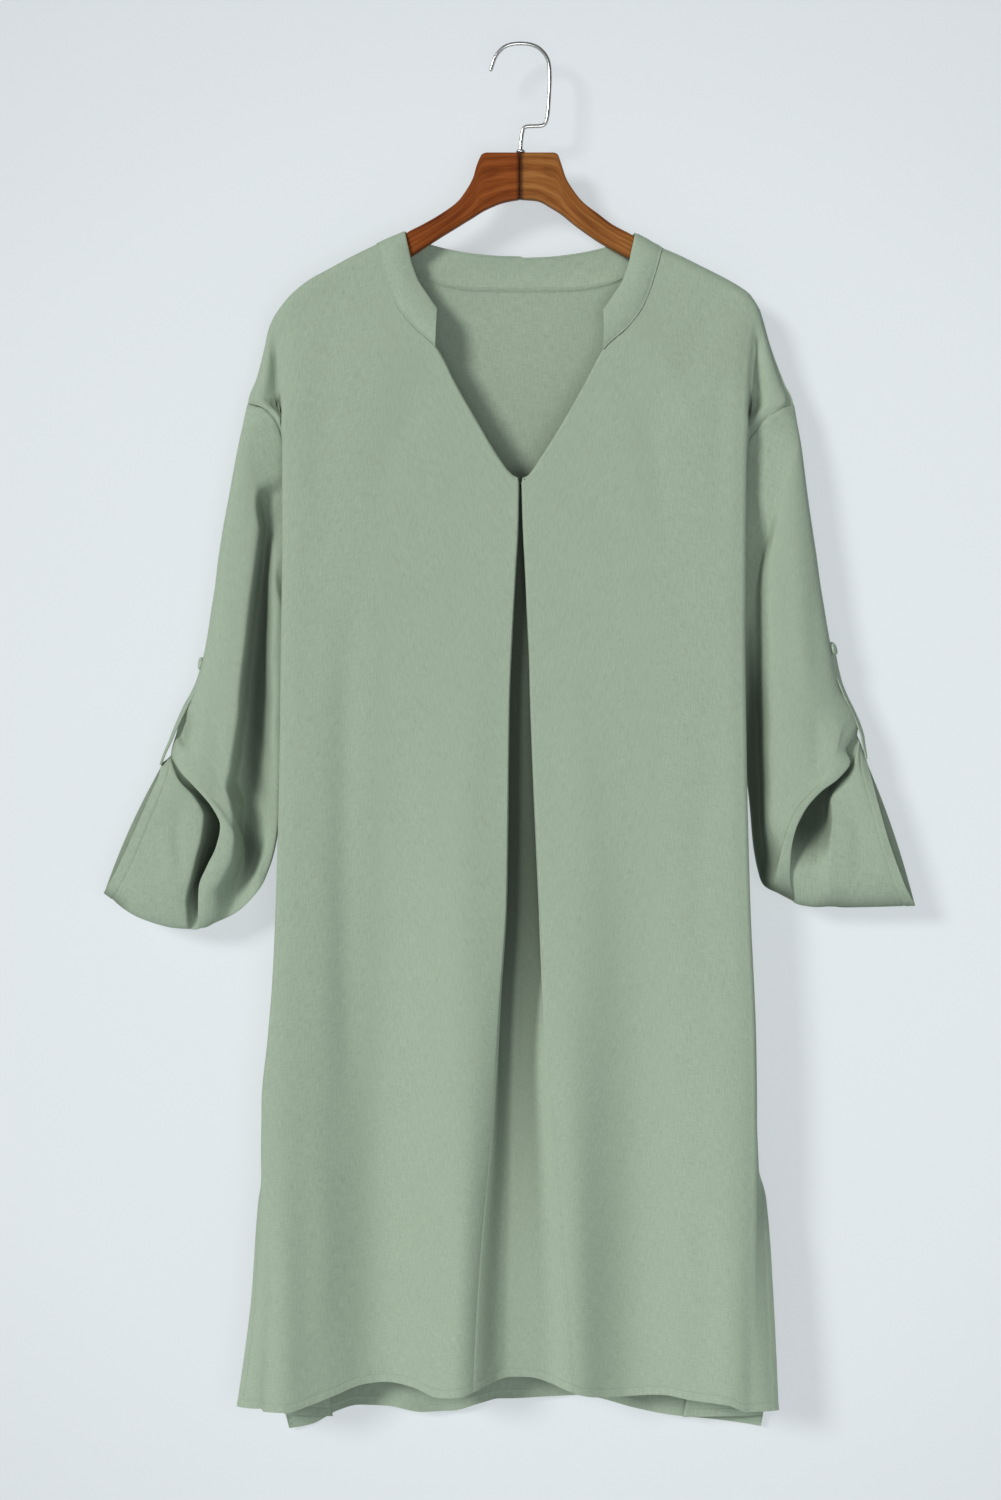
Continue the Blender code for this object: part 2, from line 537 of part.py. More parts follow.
def add_button(name, side, look, folder):
    (x0, d0), (x1, d1) = TAB[side][0], TAB[side][1]
    lean = math.atan2(x1 - x0, d1 - d0)
    centre_out = x0 + (x1 - x0) * 0.55
    centre_down = d0 + (d1 - d0) * 0.55
    lift = TAB_THICK / 2 + 0.3 + BUTTON_THICK / 2
    out = centre_out + lift * math.cos(lean)
    down = centre_down - lift * math.sin(lean)
    bpy.ops.mesh.primitive_cylinder_add(vertices=20, radius=BUTTON_RADIUS * MM,
                                        depth=BUTTON_THICK * MM,
                                        location=(side * out * MM, 0.0, -down * MM),
                                        rotation=(0.0, side * (math.pi / 2 - lean), 0.0))
    made = bpy.context.object
    made.name = name
    made.data.materials.append(look)
    bevel = made.modifiers.new("Rounded rim", "BEVEL")
    bevel.width = 0.0006
    bevel.segments = 1
    bevel.limit_method = "ANGLE"
    for owner in list(made.users_collection):
        owner.objects.unlink(made)
    folder.objects.link(made)
    return made


def add_tab(name, side, look, folder):
    path = np.array(TAB[side])
    half = TAB_WIDTH / 2
    grid = np.array([[(side * x, y, -d) for y in (-half, 0.0, half)] for x, d in path])
    return add_shell(name, grid, look, folder, thick=TAB_THICK, flip=side > 0)


def add_hanger(name, side, look, folder):
    sections = []
    for out, upper, lower in HANGER[side]:
        upper = upper + 1.6 * float(ease((out - 92) / 12))
        tall = lower - upper
        thick = WOOD * min(1.0, 0.45 + tall / 26.0)
        profile = [(thick * 0.5, upper), (thick * 0.82, upper + 1.2), (thick, upper + 3.4),
                   (thick, lower - 3.0), (thick * 0.82, lower - 1.1), (thick * 0.5, lower)]
        if tall < 9:
            profile = [(thick * 0.55, upper), (thick * 0.86, upper + tall * 0.15),
                       (thick, upper + tall * 0.35), (thick, lower - tall * 0.35),
                       (thick * 0.86, lower - tall * 0.15), (thick * 0.55, lower)]
        loop = [(side * out, y, -d) for y, d in profile]
        loop += [(side * out, -y, -d) for y, d in reversed(profile)]
        sections.append(loop)
    grid = np.array(sections)
    rows, across = grid.shape[0], grid.shape[1]
    faces = []
    for i in range(rows - 1):
        for j in range(across):
            k = (j + 1) % across
            faces.append((i * across + j, i * across + k, (i + 1) * across + k, (i + 1) * across + j))
    faces.append(tuple(range(across)))
    faces.append(tuple((rows - 1) * across + j for j in range(across)))
    made = add_mesh(name, grid.reshape(-1, 3) * MM, faces, look, folder, smooth=False)
    work = bmesh.new()
    work.from_mesh(made.data)
    bmesh.ops.recalc_face_normals(work, faces=work.faces)
    work.to_mesh(made.data)
    work.free()
    made.data.shade_smooth()
    made.data.set_sharp_from_angle(angle=math.radians(50))
    return made


def add_hook(name, look, folder):
    curve = bpy.data.curves.new(name, "CURVE")
    curve.dimensions = "3D"
    curve.bevel_depth = WIRE * MM
    curve.bevel_resolution = 2
    curve.use_fill_caps = True
    line = curve.splines.new("POLY")
    line.points.add(len(HOOK) - 1)
    for point, (x, z) in zip(line.points, HOOK):
        point.co = (x * MM, 0.0, z * MM, 1.0)
    curve.materials.append(look)
    made = bpy.data.objects.new(name, curve)
    folder.objects.link(made)
    return made


def add_ferrule(name, look, folder):
    """Washer round the wire: a small outline turned about the wire's axis."""
    low, high = -91.05, -88.6
    inner, outer = WIRE + 0.35, 3.9
    profile = [(inner, low), (outer, low), (outer, high + 0.6), (outer - 0.6, high), (inner, high)]
    count = 24
    vertices, faces = [], []
    for k in range(count):
        angle = 2 * math.pi * k / count
        for radius, z in profile:
            vertices.append(((0.5 + radius * math.cos(angle)) * MM, radius * math.sin(angle) * MM,
                             z * MM))
    step = len(profile)
    for k in range(count):
        n = (k + 1) % count
        for j in range(step):
            m = (j + 1) % step
            faces.append((k * step + j, n * step + j, n * step + m, k * step + m))
    return add_mesh(name, vertices, faces, look, folder)


def outward(made):
    """Turns a closed hand-made mesh so that its faces point outwards."""
    work = bmesh.new()
    work.from_mesh(made.data)
    bmesh.ops.recalc_face_normals(work, faces=work.faces)
    work.to_mesh(made.data)
    work.free()
    made.data.shade_smooth()
    made.data.set_sharp_from_angle(angle=math.radians(40))


def build():
    for old in list(bpy.data.objects):
        bpy.data.objects.remove(old, do_unlink=True)
    folder = bpy.data.collections.new("Roll-tab sleeve dress")
    bpy.context.scene.collection.children.link(folder)
    cloth = material("Green cloth", (0.29, 0.40, 0.28), 0.88)
    sleeve_cloth = material("Green sleeve cloth", (0.29, 0.40, 0.28), 0.88)
    band_cloth = material("Green band cloth", (0.30, 0.41, 0.29), 0.88)
    button_look = material("Green button", (0.30, 0.39, 0.28), 0.4)
    wood = material("Brown wood", (0.24, 0.09, 0.035), 0.42)
    steel = material("Steel", (0.62, 0.63, 0.60), 0.25, 1.0)

    add_shell("front_panel", front_grid(), cloth, folder)
    add_shell("back_panel", back_grid(), cloth, folder, flip=True)
    add_shell("neck_band", band_grid(), band_cloth, folder)
    add_shell("sleeve_left", sleeve_grid(LEFT), sleeve_cloth, folder, ring=True)
    add_shell("sleeve_right", sleeve_grid(RIGHT), sleeve_cloth, folder, ring=True, flip=True)
    add_tab("tab_left", LEFT, sleeve_cloth, folder)
    add_tab("tab_right", RIGHT, sleeve_cloth, folder)
    add_button("button_left", LEFT, button_look, folder)
    add_button("button_right", RIGHT, button_look, folder)
    add_hanger("hanger_left", LEFT, wood, folder)
    add_hanger("hanger_right", RIGHT, wood, folder)
    add_hook("hook", steel, folder)
    outward(add_ferrule("ferrule", steel, folder))


build()
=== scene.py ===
import math
import bmesh
import bpy
import numpy as np
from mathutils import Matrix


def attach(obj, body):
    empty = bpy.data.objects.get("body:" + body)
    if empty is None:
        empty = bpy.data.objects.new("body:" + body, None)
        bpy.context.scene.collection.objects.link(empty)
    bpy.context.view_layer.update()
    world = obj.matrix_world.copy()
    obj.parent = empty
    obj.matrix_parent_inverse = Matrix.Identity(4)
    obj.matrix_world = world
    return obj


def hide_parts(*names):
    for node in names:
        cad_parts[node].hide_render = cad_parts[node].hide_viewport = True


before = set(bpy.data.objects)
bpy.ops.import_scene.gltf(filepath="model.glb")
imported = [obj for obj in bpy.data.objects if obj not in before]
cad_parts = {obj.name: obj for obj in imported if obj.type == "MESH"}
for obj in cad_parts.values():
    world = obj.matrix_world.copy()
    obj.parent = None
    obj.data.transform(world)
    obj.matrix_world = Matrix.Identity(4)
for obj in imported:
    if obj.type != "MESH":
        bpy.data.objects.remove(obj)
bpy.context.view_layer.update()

# The tables of places on the dress and its hanger are in millimetres: out is the distance from
# the centre line, down is below the hook's inner top, front and back are distances from the
# middle plane of the dress. Places and sizes in the materials and the studio are in metres.
left, right = -1.0, 1.0
sideWord = {left: "Left", right: "Right"}
noWall = -1000.0                # a height below everything, where a hollow has no side


def blendRows(at, places, values):
    # Cubic curve along the first axis of values. Each slope is the harmonic mean of its two
    # neighbours' slopes, and zero at a peak, so the curve never runs past its points.
    places = np.asarray(places, dtype=float)
    values = np.asarray(values, dtype=float)
    tail = (1,) * (values.ndim - 1)
    step = np.diff(places)
    slope = np.diff(values, axis=0) / step.reshape((-1,) + tail)
    tangent = np.zeros_like(values)
    tangent[0] = slope[0]
    tangent[-1] = slope[-1]
    same = slope[:-1] * slope[1:] > 0
    total = np.where(same, slope[:-1] + slope[1:], 1.0)
    tangent[1:-1] = np.where(same, 2 * slope[:-1] * slope[1:] / total, 0.0)
    at = np.clip(np.asarray(at, dtype=float), places[0], places[-1])
    k = np.clip(np.searchsorted(places, at, side="right") - 1, 0, len(places) - 2)
    t = ((at - places[k]) / step[k]).reshape(at.shape + tail)
    h = step[k].reshape(at.shape + tail)
    first = (2 * t ** 3 - 3 * t ** 2 + 1) * values[k] + (t ** 3 - 2 * t ** 2 + t) * h * tangent[k]
    second = (3 * t ** 2 - 2 * t ** 3) * values[k + 1] + (t ** 3 - t ** 2) * h * tangent[k + 1]
    return first + second


def curveValue(at, table, column=1):
    # The same curve through one column of a table against its first column.
    rows = np.asarray(table, dtype=float)
    return blendRows(at, rows[:, 0], rows[:, column])


def ease(t):
    # Smooth step from 0 to 1: three t squared less two t cubed.
    t = np.clip(t, 0.0, 1.0)
    return t * t * (3 - 2 * t)


def surfaceNormals(grid, closed=False):
    # Cross product of the steps along the first and the second axis of the grid.
    along = np.gradient(grid, axis=0)
    around = np.gradient(grid, axis=1)
    if closed:
        around = (np.roll(grid, -1, axis=1) - np.roll(grid, 1, axis=1)) / 2
    normal = np.cross(along, around)
    size = np.linalg.norm(normal, axis=2, keepdims=True)
    return normal / np.maximum(size, 1e-9)


def creaseField(x, down, creases):
    # Height of listed creases: depth times a bell of the distance to the crease's line,
    # faded in and out along the line. A line is a list of (x, down) points.
    total = np.zeros(np.broadcast(x, down).shape)
    for line, width, depth in creases:
        line = np.asarray(line, dtype=float)
        spans = np.linalg.norm(np.diff(line, axis=0), axis=1)
        reach = np.concatenate([[0.0], np.cumsum(spans)])
        best = np.full(total.shape, 1e9)
        place = np.zeros(total.shape)
        for start, end, span, begin in zip(line[:-1], line[1:], spans, reach[:-1]):
            run = (end - start) / span
            t = np.clip((x - start[0]) * run[0] + (down - start[1]) * run[1], 0.0, span)
            far = np.hypot(x - start[0] - run[0] * t, down - start[1] - run[1] * t)
            place = np.where(far < best, (begin + t) / reach[-1], place)
            best = np.minimum(best, far)
        fade = ease(place / 0.3) * ease((1 - place) / 0.35)
        total = total + depth * fade * np.exp(-(best / width) ** 2)
    return total


def hollowDepth(grid, height, reach, most=60):
    # How deep a point lies in a hollow: the lower of the highest points within reach on its two
    # sides, less its own height. Worked out along columns and along rows, the deeper one counts.
    # Most is how many points away it looks.
    best = np.zeros_like(height)
    for turned in (False, True):
        places = np.swapaxes(grid, 0, 1) if turned else grid
        high = height.T if turned else height
        before, after = np.full_like(high, noWall), np.full_like(high, noWall)
        for step in range(1, min(most, len(high) - 1)):
            near = np.linalg.norm(places[step:] - places[:-step], axis=-1) < reach
            before[step:] = np.maximum(before[step:], np.where(near, high[:-step], noWall))
            after[:-step] = np.maximum(after[:-step], np.where(near, high[step:], noWall))
        deep = np.maximum(np.minimum(before, after) - high, 0.0)
        best = np.maximum(best, deep.T if turned else deep)
    return best


def keepPaintedShade(piece, amount, passes=0):
    # The amount, 0 to 1, is averaged with its neighbours a few times and kept on the points as
    # painted shade, which darkens the cloth's colour in its folds.
    for turn in range(passes):
        wide = np.pad(amount, 1, mode="edge")
        amount = (wide[:-2, 1:-1] + wide[2:, 1:-1] + wide[1:-1, :-2] + wide[1:-1, 2:]) / 4
    kept = piece.data.attributes.new("paintedShade", "FLOAT", "POINT")
    kept.data.foreach_set("value", np.ascontiguousarray(amount, dtype=np.float32).ravel())


def distanceFromStart(grid):
    # Length along the cloth from the first row of the grid.
    step = np.linalg.norm(np.diff(grid, axis=0), axis=2)
    return np.concatenate([np.zeros((1, grid.shape[1])), np.cumsum(step, axis=0)])


def insetLine(grid, normals, inset):
    # The line at a fixed distance from the grid's first row, measured along the cloth.
    far = distanceFromStart(grid)
    k = np.clip((far >= inset).argmax(axis=0), 1, len(grid) - 1)
    r = np.arange(grid.shape[1])
    t = ((inset - far[k - 1, r]) / np.maximum(far[k, r] - far[k - 1, r], 1e-6))[:, None]
    line = grid[k - 1, r] + (grid[k, r] - grid[k - 1, r]) * t
    facing = normals[k - 1, r] + (normals[k, r] - normals[k - 1, r]) * t
    return line, facing / np.linalg.norm(facing, axis=1, keepdims=True)


def meshPiece(name, points, faces, look, corners=None):
    # Points in millimetres and faces become an object at the origin, in metres.
    mesh = bpy.data.meshes.new(name)
    mesh.from_pydata((np.asarray(points) * 0.001).tolist(), [], np.asarray(faces).tolist())
    if corners is not None:
        layer = mesh.uv_layers.new(name="cloth")
        layer.data.foreach_set("uv", np.asarray(corners, dtype=np.float32).ravel())
    mesh.materials.append(look)
    mesh.shade_smooth()
    mesh.update()
    piece = bpy.data.objects.new(name, mesh)
    bpy.context.scene.collection.objects.link(piece)
    return piece


def squareFaces(rows, across, closed):
    # Corner numbers of the square at row i and column j, from the points numbered row by row.
    # A closed grid joins its last column to its first.
    i, j = np.meshgrid(np.arange(rows - 1), np.arange(across if closed else across - 1), indexing="ij")
    k = (j + 1) % across
    faces = np.stack([i * across + j, i * across + k, (i + 1) * across + k, (i + 1) * across + j], -1)
    return faces.reshape(-1, 4), i, j


def gridPiece(name, grid, look, closed=False, flip=False):
    # Square faces over a grid of points. The UV map holds the cloth's own lengths in metres.
    faces, i, j = squareFaces(*grid.shape[:2], closed)
    wide = np.concatenate([grid, grid[:, :1]], axis=1) if closed else grid
    widths = np.linalg.norm(np.diff(wide, axis=1), axis=2).mean(axis=0)
    heights = np.linalg.norm(np.diff(grid, axis=0), axis=2).mean(axis=1)
    u, v = (np.concatenate([[0.0], np.cumsum(steps)]) for steps in (widths, heights))
    corners = np.stack([np.stack([u[j], v[i]], -1), np.stack([u[j + 1], v[i]], -1),
                        np.stack([u[j + 1], v[i + 1]], -1), np.stack([u[j], v[i + 1]], -1)],
                       axis=2).reshape(-1, 4, 2) * 0.001
    if flip:
        faces = faces[:, ::-1]
        corners = corners[:, ::-1]
    return meshPiece(name, grid.reshape(-1, 3), faces, look, corners)


def thicken(piece, wall):
    # Half of the wall on each side of the surface.
    solid = piece.modifiers.new("Wall", "SOLIDIFY")
    solid.thickness = wall * 0.001
    solid.offset = 0.0
    solid.use_even_offset = False
    return piece


def keepPiece(piece, finish, *nodes):
    # Every piece rides on the one body and stands for its CAD nodes.
    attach(piece, "root")
    if nodes:
        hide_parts(*nodes)


threadLook = {
    "pitch": 2.9, "length": 2.2, "radius": 0.17,
    "sink": 0.25, "thin": 0.35,     # depth of a stitch's ends, and their share of the radius
    "first": 0.6, "last": 0.4,      # free length before the first stitch and after the last one
    "rings": (0.0, 0.22, 0.5, 0.78, 1.0),
}


def threadPiece(name, rows, lift, look):
    # Each stitch is a short spindle along its line: rings of five points, whose radius and
    # height above the cloth follow half a sine wave.
    length, thin = threadLook["length"], threadLook["thin"]
    rings = np.array(threadLook["rings"])
    turn = np.arange(5) / 5 * 2 * np.pi
    swell = np.sin(np.pi * rings)[None, :, None]
    radius = threadLook["radius"] * (thin + (1 - thin) * swell)
    quads = squareFaces(len(rings), len(turn), True)[0]
    stitch = len(rings) * len(turn)
    points, faces, count = [], [], 0
    for line, facing in rows:
        span = np.linalg.norm(np.diff(line, axis=0), axis=1)
        reach = np.concatenate([[0.0], np.cumsum(span)])
        keep = np.concatenate([[True], span > 1e-6])
        starts = np.arange(threadLook["first"], reach[-1] - length - threadLook["last"],
                           threadLook["pitch"])
        at = starts[:, None] + rings[None, :] * length
        place = np.stack([np.interp(at, reach[keep], line[keep, c]) for c in range(3)], -1)
        up = np.stack([np.interp(at, reach[keep], facing[keep, c]) for c in range(3)], -1)
        run = place[:, -1] - place[:, 0]
        run = run / np.linalg.norm(run, axis=1, keepdims=True)
        side = np.cross(run[:, None, :], up)
        place = place + up * (lift - threadLook["sink"] * (1 - swell))
        around = (np.cos(turn)[:, None] * up[:, :, None, :]
                  + np.sin(turn)[:, None] * side[:, :, None, :])
        points.append((place[:, :, None, :] + radius[..., None] * around).reshape(-1, 3))
        base = count + np.arange(len(starts))[:, None, None] * stitch
        faces.append((base + quads[None]).reshape(-1, 4))
        count += len(starts) * stitch
    return meshPiece(name, np.concatenate(points), np.concatenate(faces), look)


def newLook(name):
    # A material with its node tree and its Principled shader.
    look = bpy.data.materials.new(name)
    look.use_nodes = True
    tree = look.node_tree
    return look, tree, tree.nodes["Principled BSDF"]


def addNode(tree, kind, **settings):
    # A new node with the settings given by name.
    made = tree.nodes.new(kind)
    for key, value in settings.items():
        setattr(made, key, value)
    return made


def setSockets(node, **values):
    # Numbers that are the same everywhere, written on the node's own sockets. An underscore
    # in a name stands for a space.
    for key, value in values.items():
        node.inputs[key.replace("_", " ")].default_value = value


def placeFrom(tree, kind):
    # The object's own coordinates or its UV map, by the output's name.
    return addNode(tree, "ShaderNodeTexCoord").outputs[kind]


def noiseNode(tree, source, scale, detail=3.0, rough=0.55, stretch=(1.0, 1.0, 1.0)):
    # Noise read through a Mapping node that stretches it.
    mapping = addNode(tree, "ShaderNodeMapping")
    noise = addNode(tree, "ShaderNodeTexNoise")
    setSockets(mapping, Scale=stretch)
    setSockets(noise, Scale=scale, Detail=detail, Roughness=rough)
    tree.links.new(source, mapping.inputs["Vector"])
    tree.links.new(mapping.outputs["Vector"], noise.inputs["Vector"])
    return noise.outputs["Fac"]


def mathNode(tree, operation, first, second=0.0):
    # One step of arithmetic on two values, each a number or another node's output.
    node = addNode(tree, "ShaderNodeMath", operation=operation)
    for socket, value in zip(node.inputs, (first, second)):
        if isinstance(value, (int, float)):
            socket.default_value = value
        else:
            tree.links.new(value, socket)
    return node.outputs[0]


def weightedSum(tree, *parts):
    # Each part is an output and its weight; the products are added up in turn.
    total = 0.0
    for source, weight in parts:
        total = mathNode(tree, "ADD", mathNode(tree, "MULTIPLY", source, weight), total)
    return total


def rampNode(tree, source, stops):
    # Colour by value: straight mixes between stops of place and colour.
    ramp = addNode(tree, "ShaderNodeValToRGB")
    while len(ramp.color_ramp.elements) < len(stops):
        ramp.color_ramp.elements.new(0.5)
    for element, (place, colour) in zip(ramp.color_ramp.elements, stops):
        element.position = place
        element.color = (*colour, 1.0)
    tree.links.new(source, ramp.inputs["Fac"])
    return ramp.outputs["Color"]


def productColour(tree, first, second, shader):
    # The base colour is the product of two colours.
    product = addNode(tree, "ShaderNodeMix", data_type="RGBA", blend_type="MULTIPLY")
    product.inputs["Factor"].default_value = 1.0
    tree.links.new(first, product.inputs["A"])
    tree.links.new(second, product.inputs["B"])
    tree.links.new(product.outputs["Result"], shader.inputs["Base Color"])


def bumpNode(tree, height, strength, distance, shader):
    # Heights tilt the shader's normal; distance is one unit of height in metres.
    bump = addNode(tree, "ShaderNodeBump")
    setSockets(bump, Strength=strength, Distance=distance)
    tree.links.new(height, bump.inputs["Height"])
    tree.links.new(bump.outputs["Normal"], shader.inputs["Normal"])


def speckledLook(name, colours, scale, detail=3.0, stretch=(1.0, 1.0, 1.0)):
    # Base colour mixed between two colours by noise on the object's own coordinates.
    look, tree, shader = newLook(name)
    speckle = noiseNode(tree, placeFrom(tree, "Object"), scale, detail, stretch=stretch)
    tree.links.new(rampNode(tree, speckle, [(0.3, colours[0]), (0.7, colours[1])]),
                   shader.inputs["Base Color"])
    return look, tree, shader


clothLook = {
    "colour": (0.286, 0.357, 0.270), "thread": (0.215, 0.275, 0.205),
    "spread": 0.075,                  # how far the yarns differ in shade
    "slub": (120.0, 1150.0),          # yarns per metre, along and across a thick place
    "streaks": (0.54, 0.38, 0.08),    # weights of the weft, the warp and a wide soft cloud
    "weave": 2400.0,                  # crossings per metre
    "heights": (0.16, 1.0, 0.5),      # weights of the crossings, the crepe and the thick yarns
    # painted shade: the share of the colour left in the deepest folds, where shade falls
    "paintedShade": (0.19, 0.205, 0.185),   # what is left of the colour in the deepest folds
    "roughness": 0.85, "sheen": 0.14, "sheenRoughness": 0.45, "sheenTint": (0.80, 0.95, 0.80, 1.0),
    "specular": 0.25, "bump": 0.45, "bumpHeight": 0.00016,
}


def clothMaterial(name, shade=1.0):
    # Colour is the base shade times streaks of yarn both ways, times painted shade in the folds;
    # height is a plain weave, the product of two sines of the UV lengths, with a fine crepe noise.
    look, tree, shader = newLook(name)
    uv = placeFrom(tree, "UV")
    few, many = clothLook["slub"]
    weft = noiseNode(tree, uv, 1.0, 2.0, stretch=(few, many, 1.0))
    warp = noiseNode(tree, uv, 1.0, 2.0, stretch=(many, few, 1.0))
    cloud = noiseNode(tree, uv, 38.0)
    streak = weightedSum(tree, *zip((weft, warp, cloud), clothLook["streaks"]))
    base = np.array(clothLook["colour"]) * shade
    spread = clothLook["spread"]
    colour = rampNode(tree, streak, [(0.30, base * (1 - 2.2 * spread)), (0.50, base),
                                     (0.70, base * (1 + 2.0 * spread))])
    # painted shade: the colour is darkened towards the fold colour by the amount kept on the points
    paintedShade = addNode(tree, "ShaderNodeAttribute", attribute_name="paintedShade").outputs["Fac"]
    dark = rampNode(tree, paintedShade, [(0.0, (1.0, 1.0, 1.0)), (1.0, clothLook["paintedShade"])])
    productColour(tree, colour, dark, shader)
    setSockets(shader, Roughness=clothLook["roughness"], Sheen_Weight=clothLook["sheen"],
               Sheen_Roughness=clothLook["sheenRoughness"], Sheen_Tint=clothLook["sheenTint"],
               Specular_IOR_Level=clothLook["specular"])
    parts = addNode(tree, "ShaderNodeSeparateXYZ")
    tree.links.new(uv, parts.inputs[0])
    turn = clothLook["weave"] * math.pi
    across, along = (mathNode(tree, "SINE", mathNode(tree, "MULTIPLY", parts.outputs[axis], turn))
                     for axis in ("X", "Y"))
    crossing = mathNode(tree, "MULTIPLY", across, along)
    crepe = noiseNode(tree, uv, 700.0, 4.0, 0.65)
    height = weightedSum(tree, *zip((crossing, crepe, weft), clothLook["heights"]))
    bumpNode(tree, height, clothLook["bump"], clothLook["bumpHeight"], shader)
    return look


def threadMaterial():
    # Fine noise between a darker and a lighter thread colour.
    base = np.array(clothLook["thread"])
    look, tree, shader = speckledLook("Green thread", (base * 0.86, base * 1.1), 2600.0, 2.0)
    setSockets(shader, Roughness=0.6, Sheen_Weight=0.2)
    return look


bodyCloth = clothMaterial("Green body cloth")
backCloth = clothMaterial("Green back cloth", 0.985)
sleeveCloth = clothMaterial("Green sleeve cloth", 0.995)
bandCloth = clothMaterial("Green band cloth", 1.01)
greenThread = threadMaterial()
print("materials: cloth and thread made")


shoulder = {
    left: [(0, 112), (60, 139), (98, 157.5), (121, 169), (144, 180.3), (161, 189.6), (178, 198.9),
           (190, 208), (198, 216), (205, 225), (208, 229.5)],
    right: [(0, 112), (60, 140), (98, 160), (120, 172), (136, 179), (153, 187.5), (170, 196),
            (187, 205.7), (195.4, 212.1), (200.5, 219.7), (203.5, 225)],
}
neckOut = {left: 121.0, right: 120.0}
tipDown = {left: 229.5, right: 225.0}
armholeTop, armholeLow = 304.0, 506.0
# radius of the cloth's bend over the hanger's arm, cosine of the arm's slope, and how far below
# the arm the cloth has its full depth
overArm = {"radius": 8.6, "slope": 0.87, "reach": 90.0}
seamShape = {
    "lip": 1.5,                     # how far the fold's line lies behind the face
    "inset": 0.55,                  # seam edges lie this far inside the tables' depth
    "least": 0.08, "flat": 0.12,    # least distance of strip and face from the middle plane
}
# side strip above the armhole's turn, in shares across it: where it starts to swell and over
# what share, from where it rounds down, over what share it leaves the fold, and from where it
# runs to its edge. In millimetres down: where the rounding ends and over what length, over what
# length the slot begins below the tip, and where it ends and over what length.
slotShape = {"swell": (0.10, 0.5), "round": 0.55, "fold": 0.13, "edge": 0.8,
             "square": (300, 8.0), "start": 14, "end": (309, 16)}
# the sleeve's first row beside the panel's armhole: where it is last seen from the front (down,
# length), where it turns low (share, length), and how far each of the two moves it
armholeSeam = {"seen": (318, 40.0), "low": (0.72, 0.28), "out": (0.25, 3.0), "in": (2.2, 0.8),
               "down": (0.3, 1.0)}
# depth down at which a column's place is looked up in the hem's table
hemLevel = {"face": 1140.0, "strip": 1200.0}

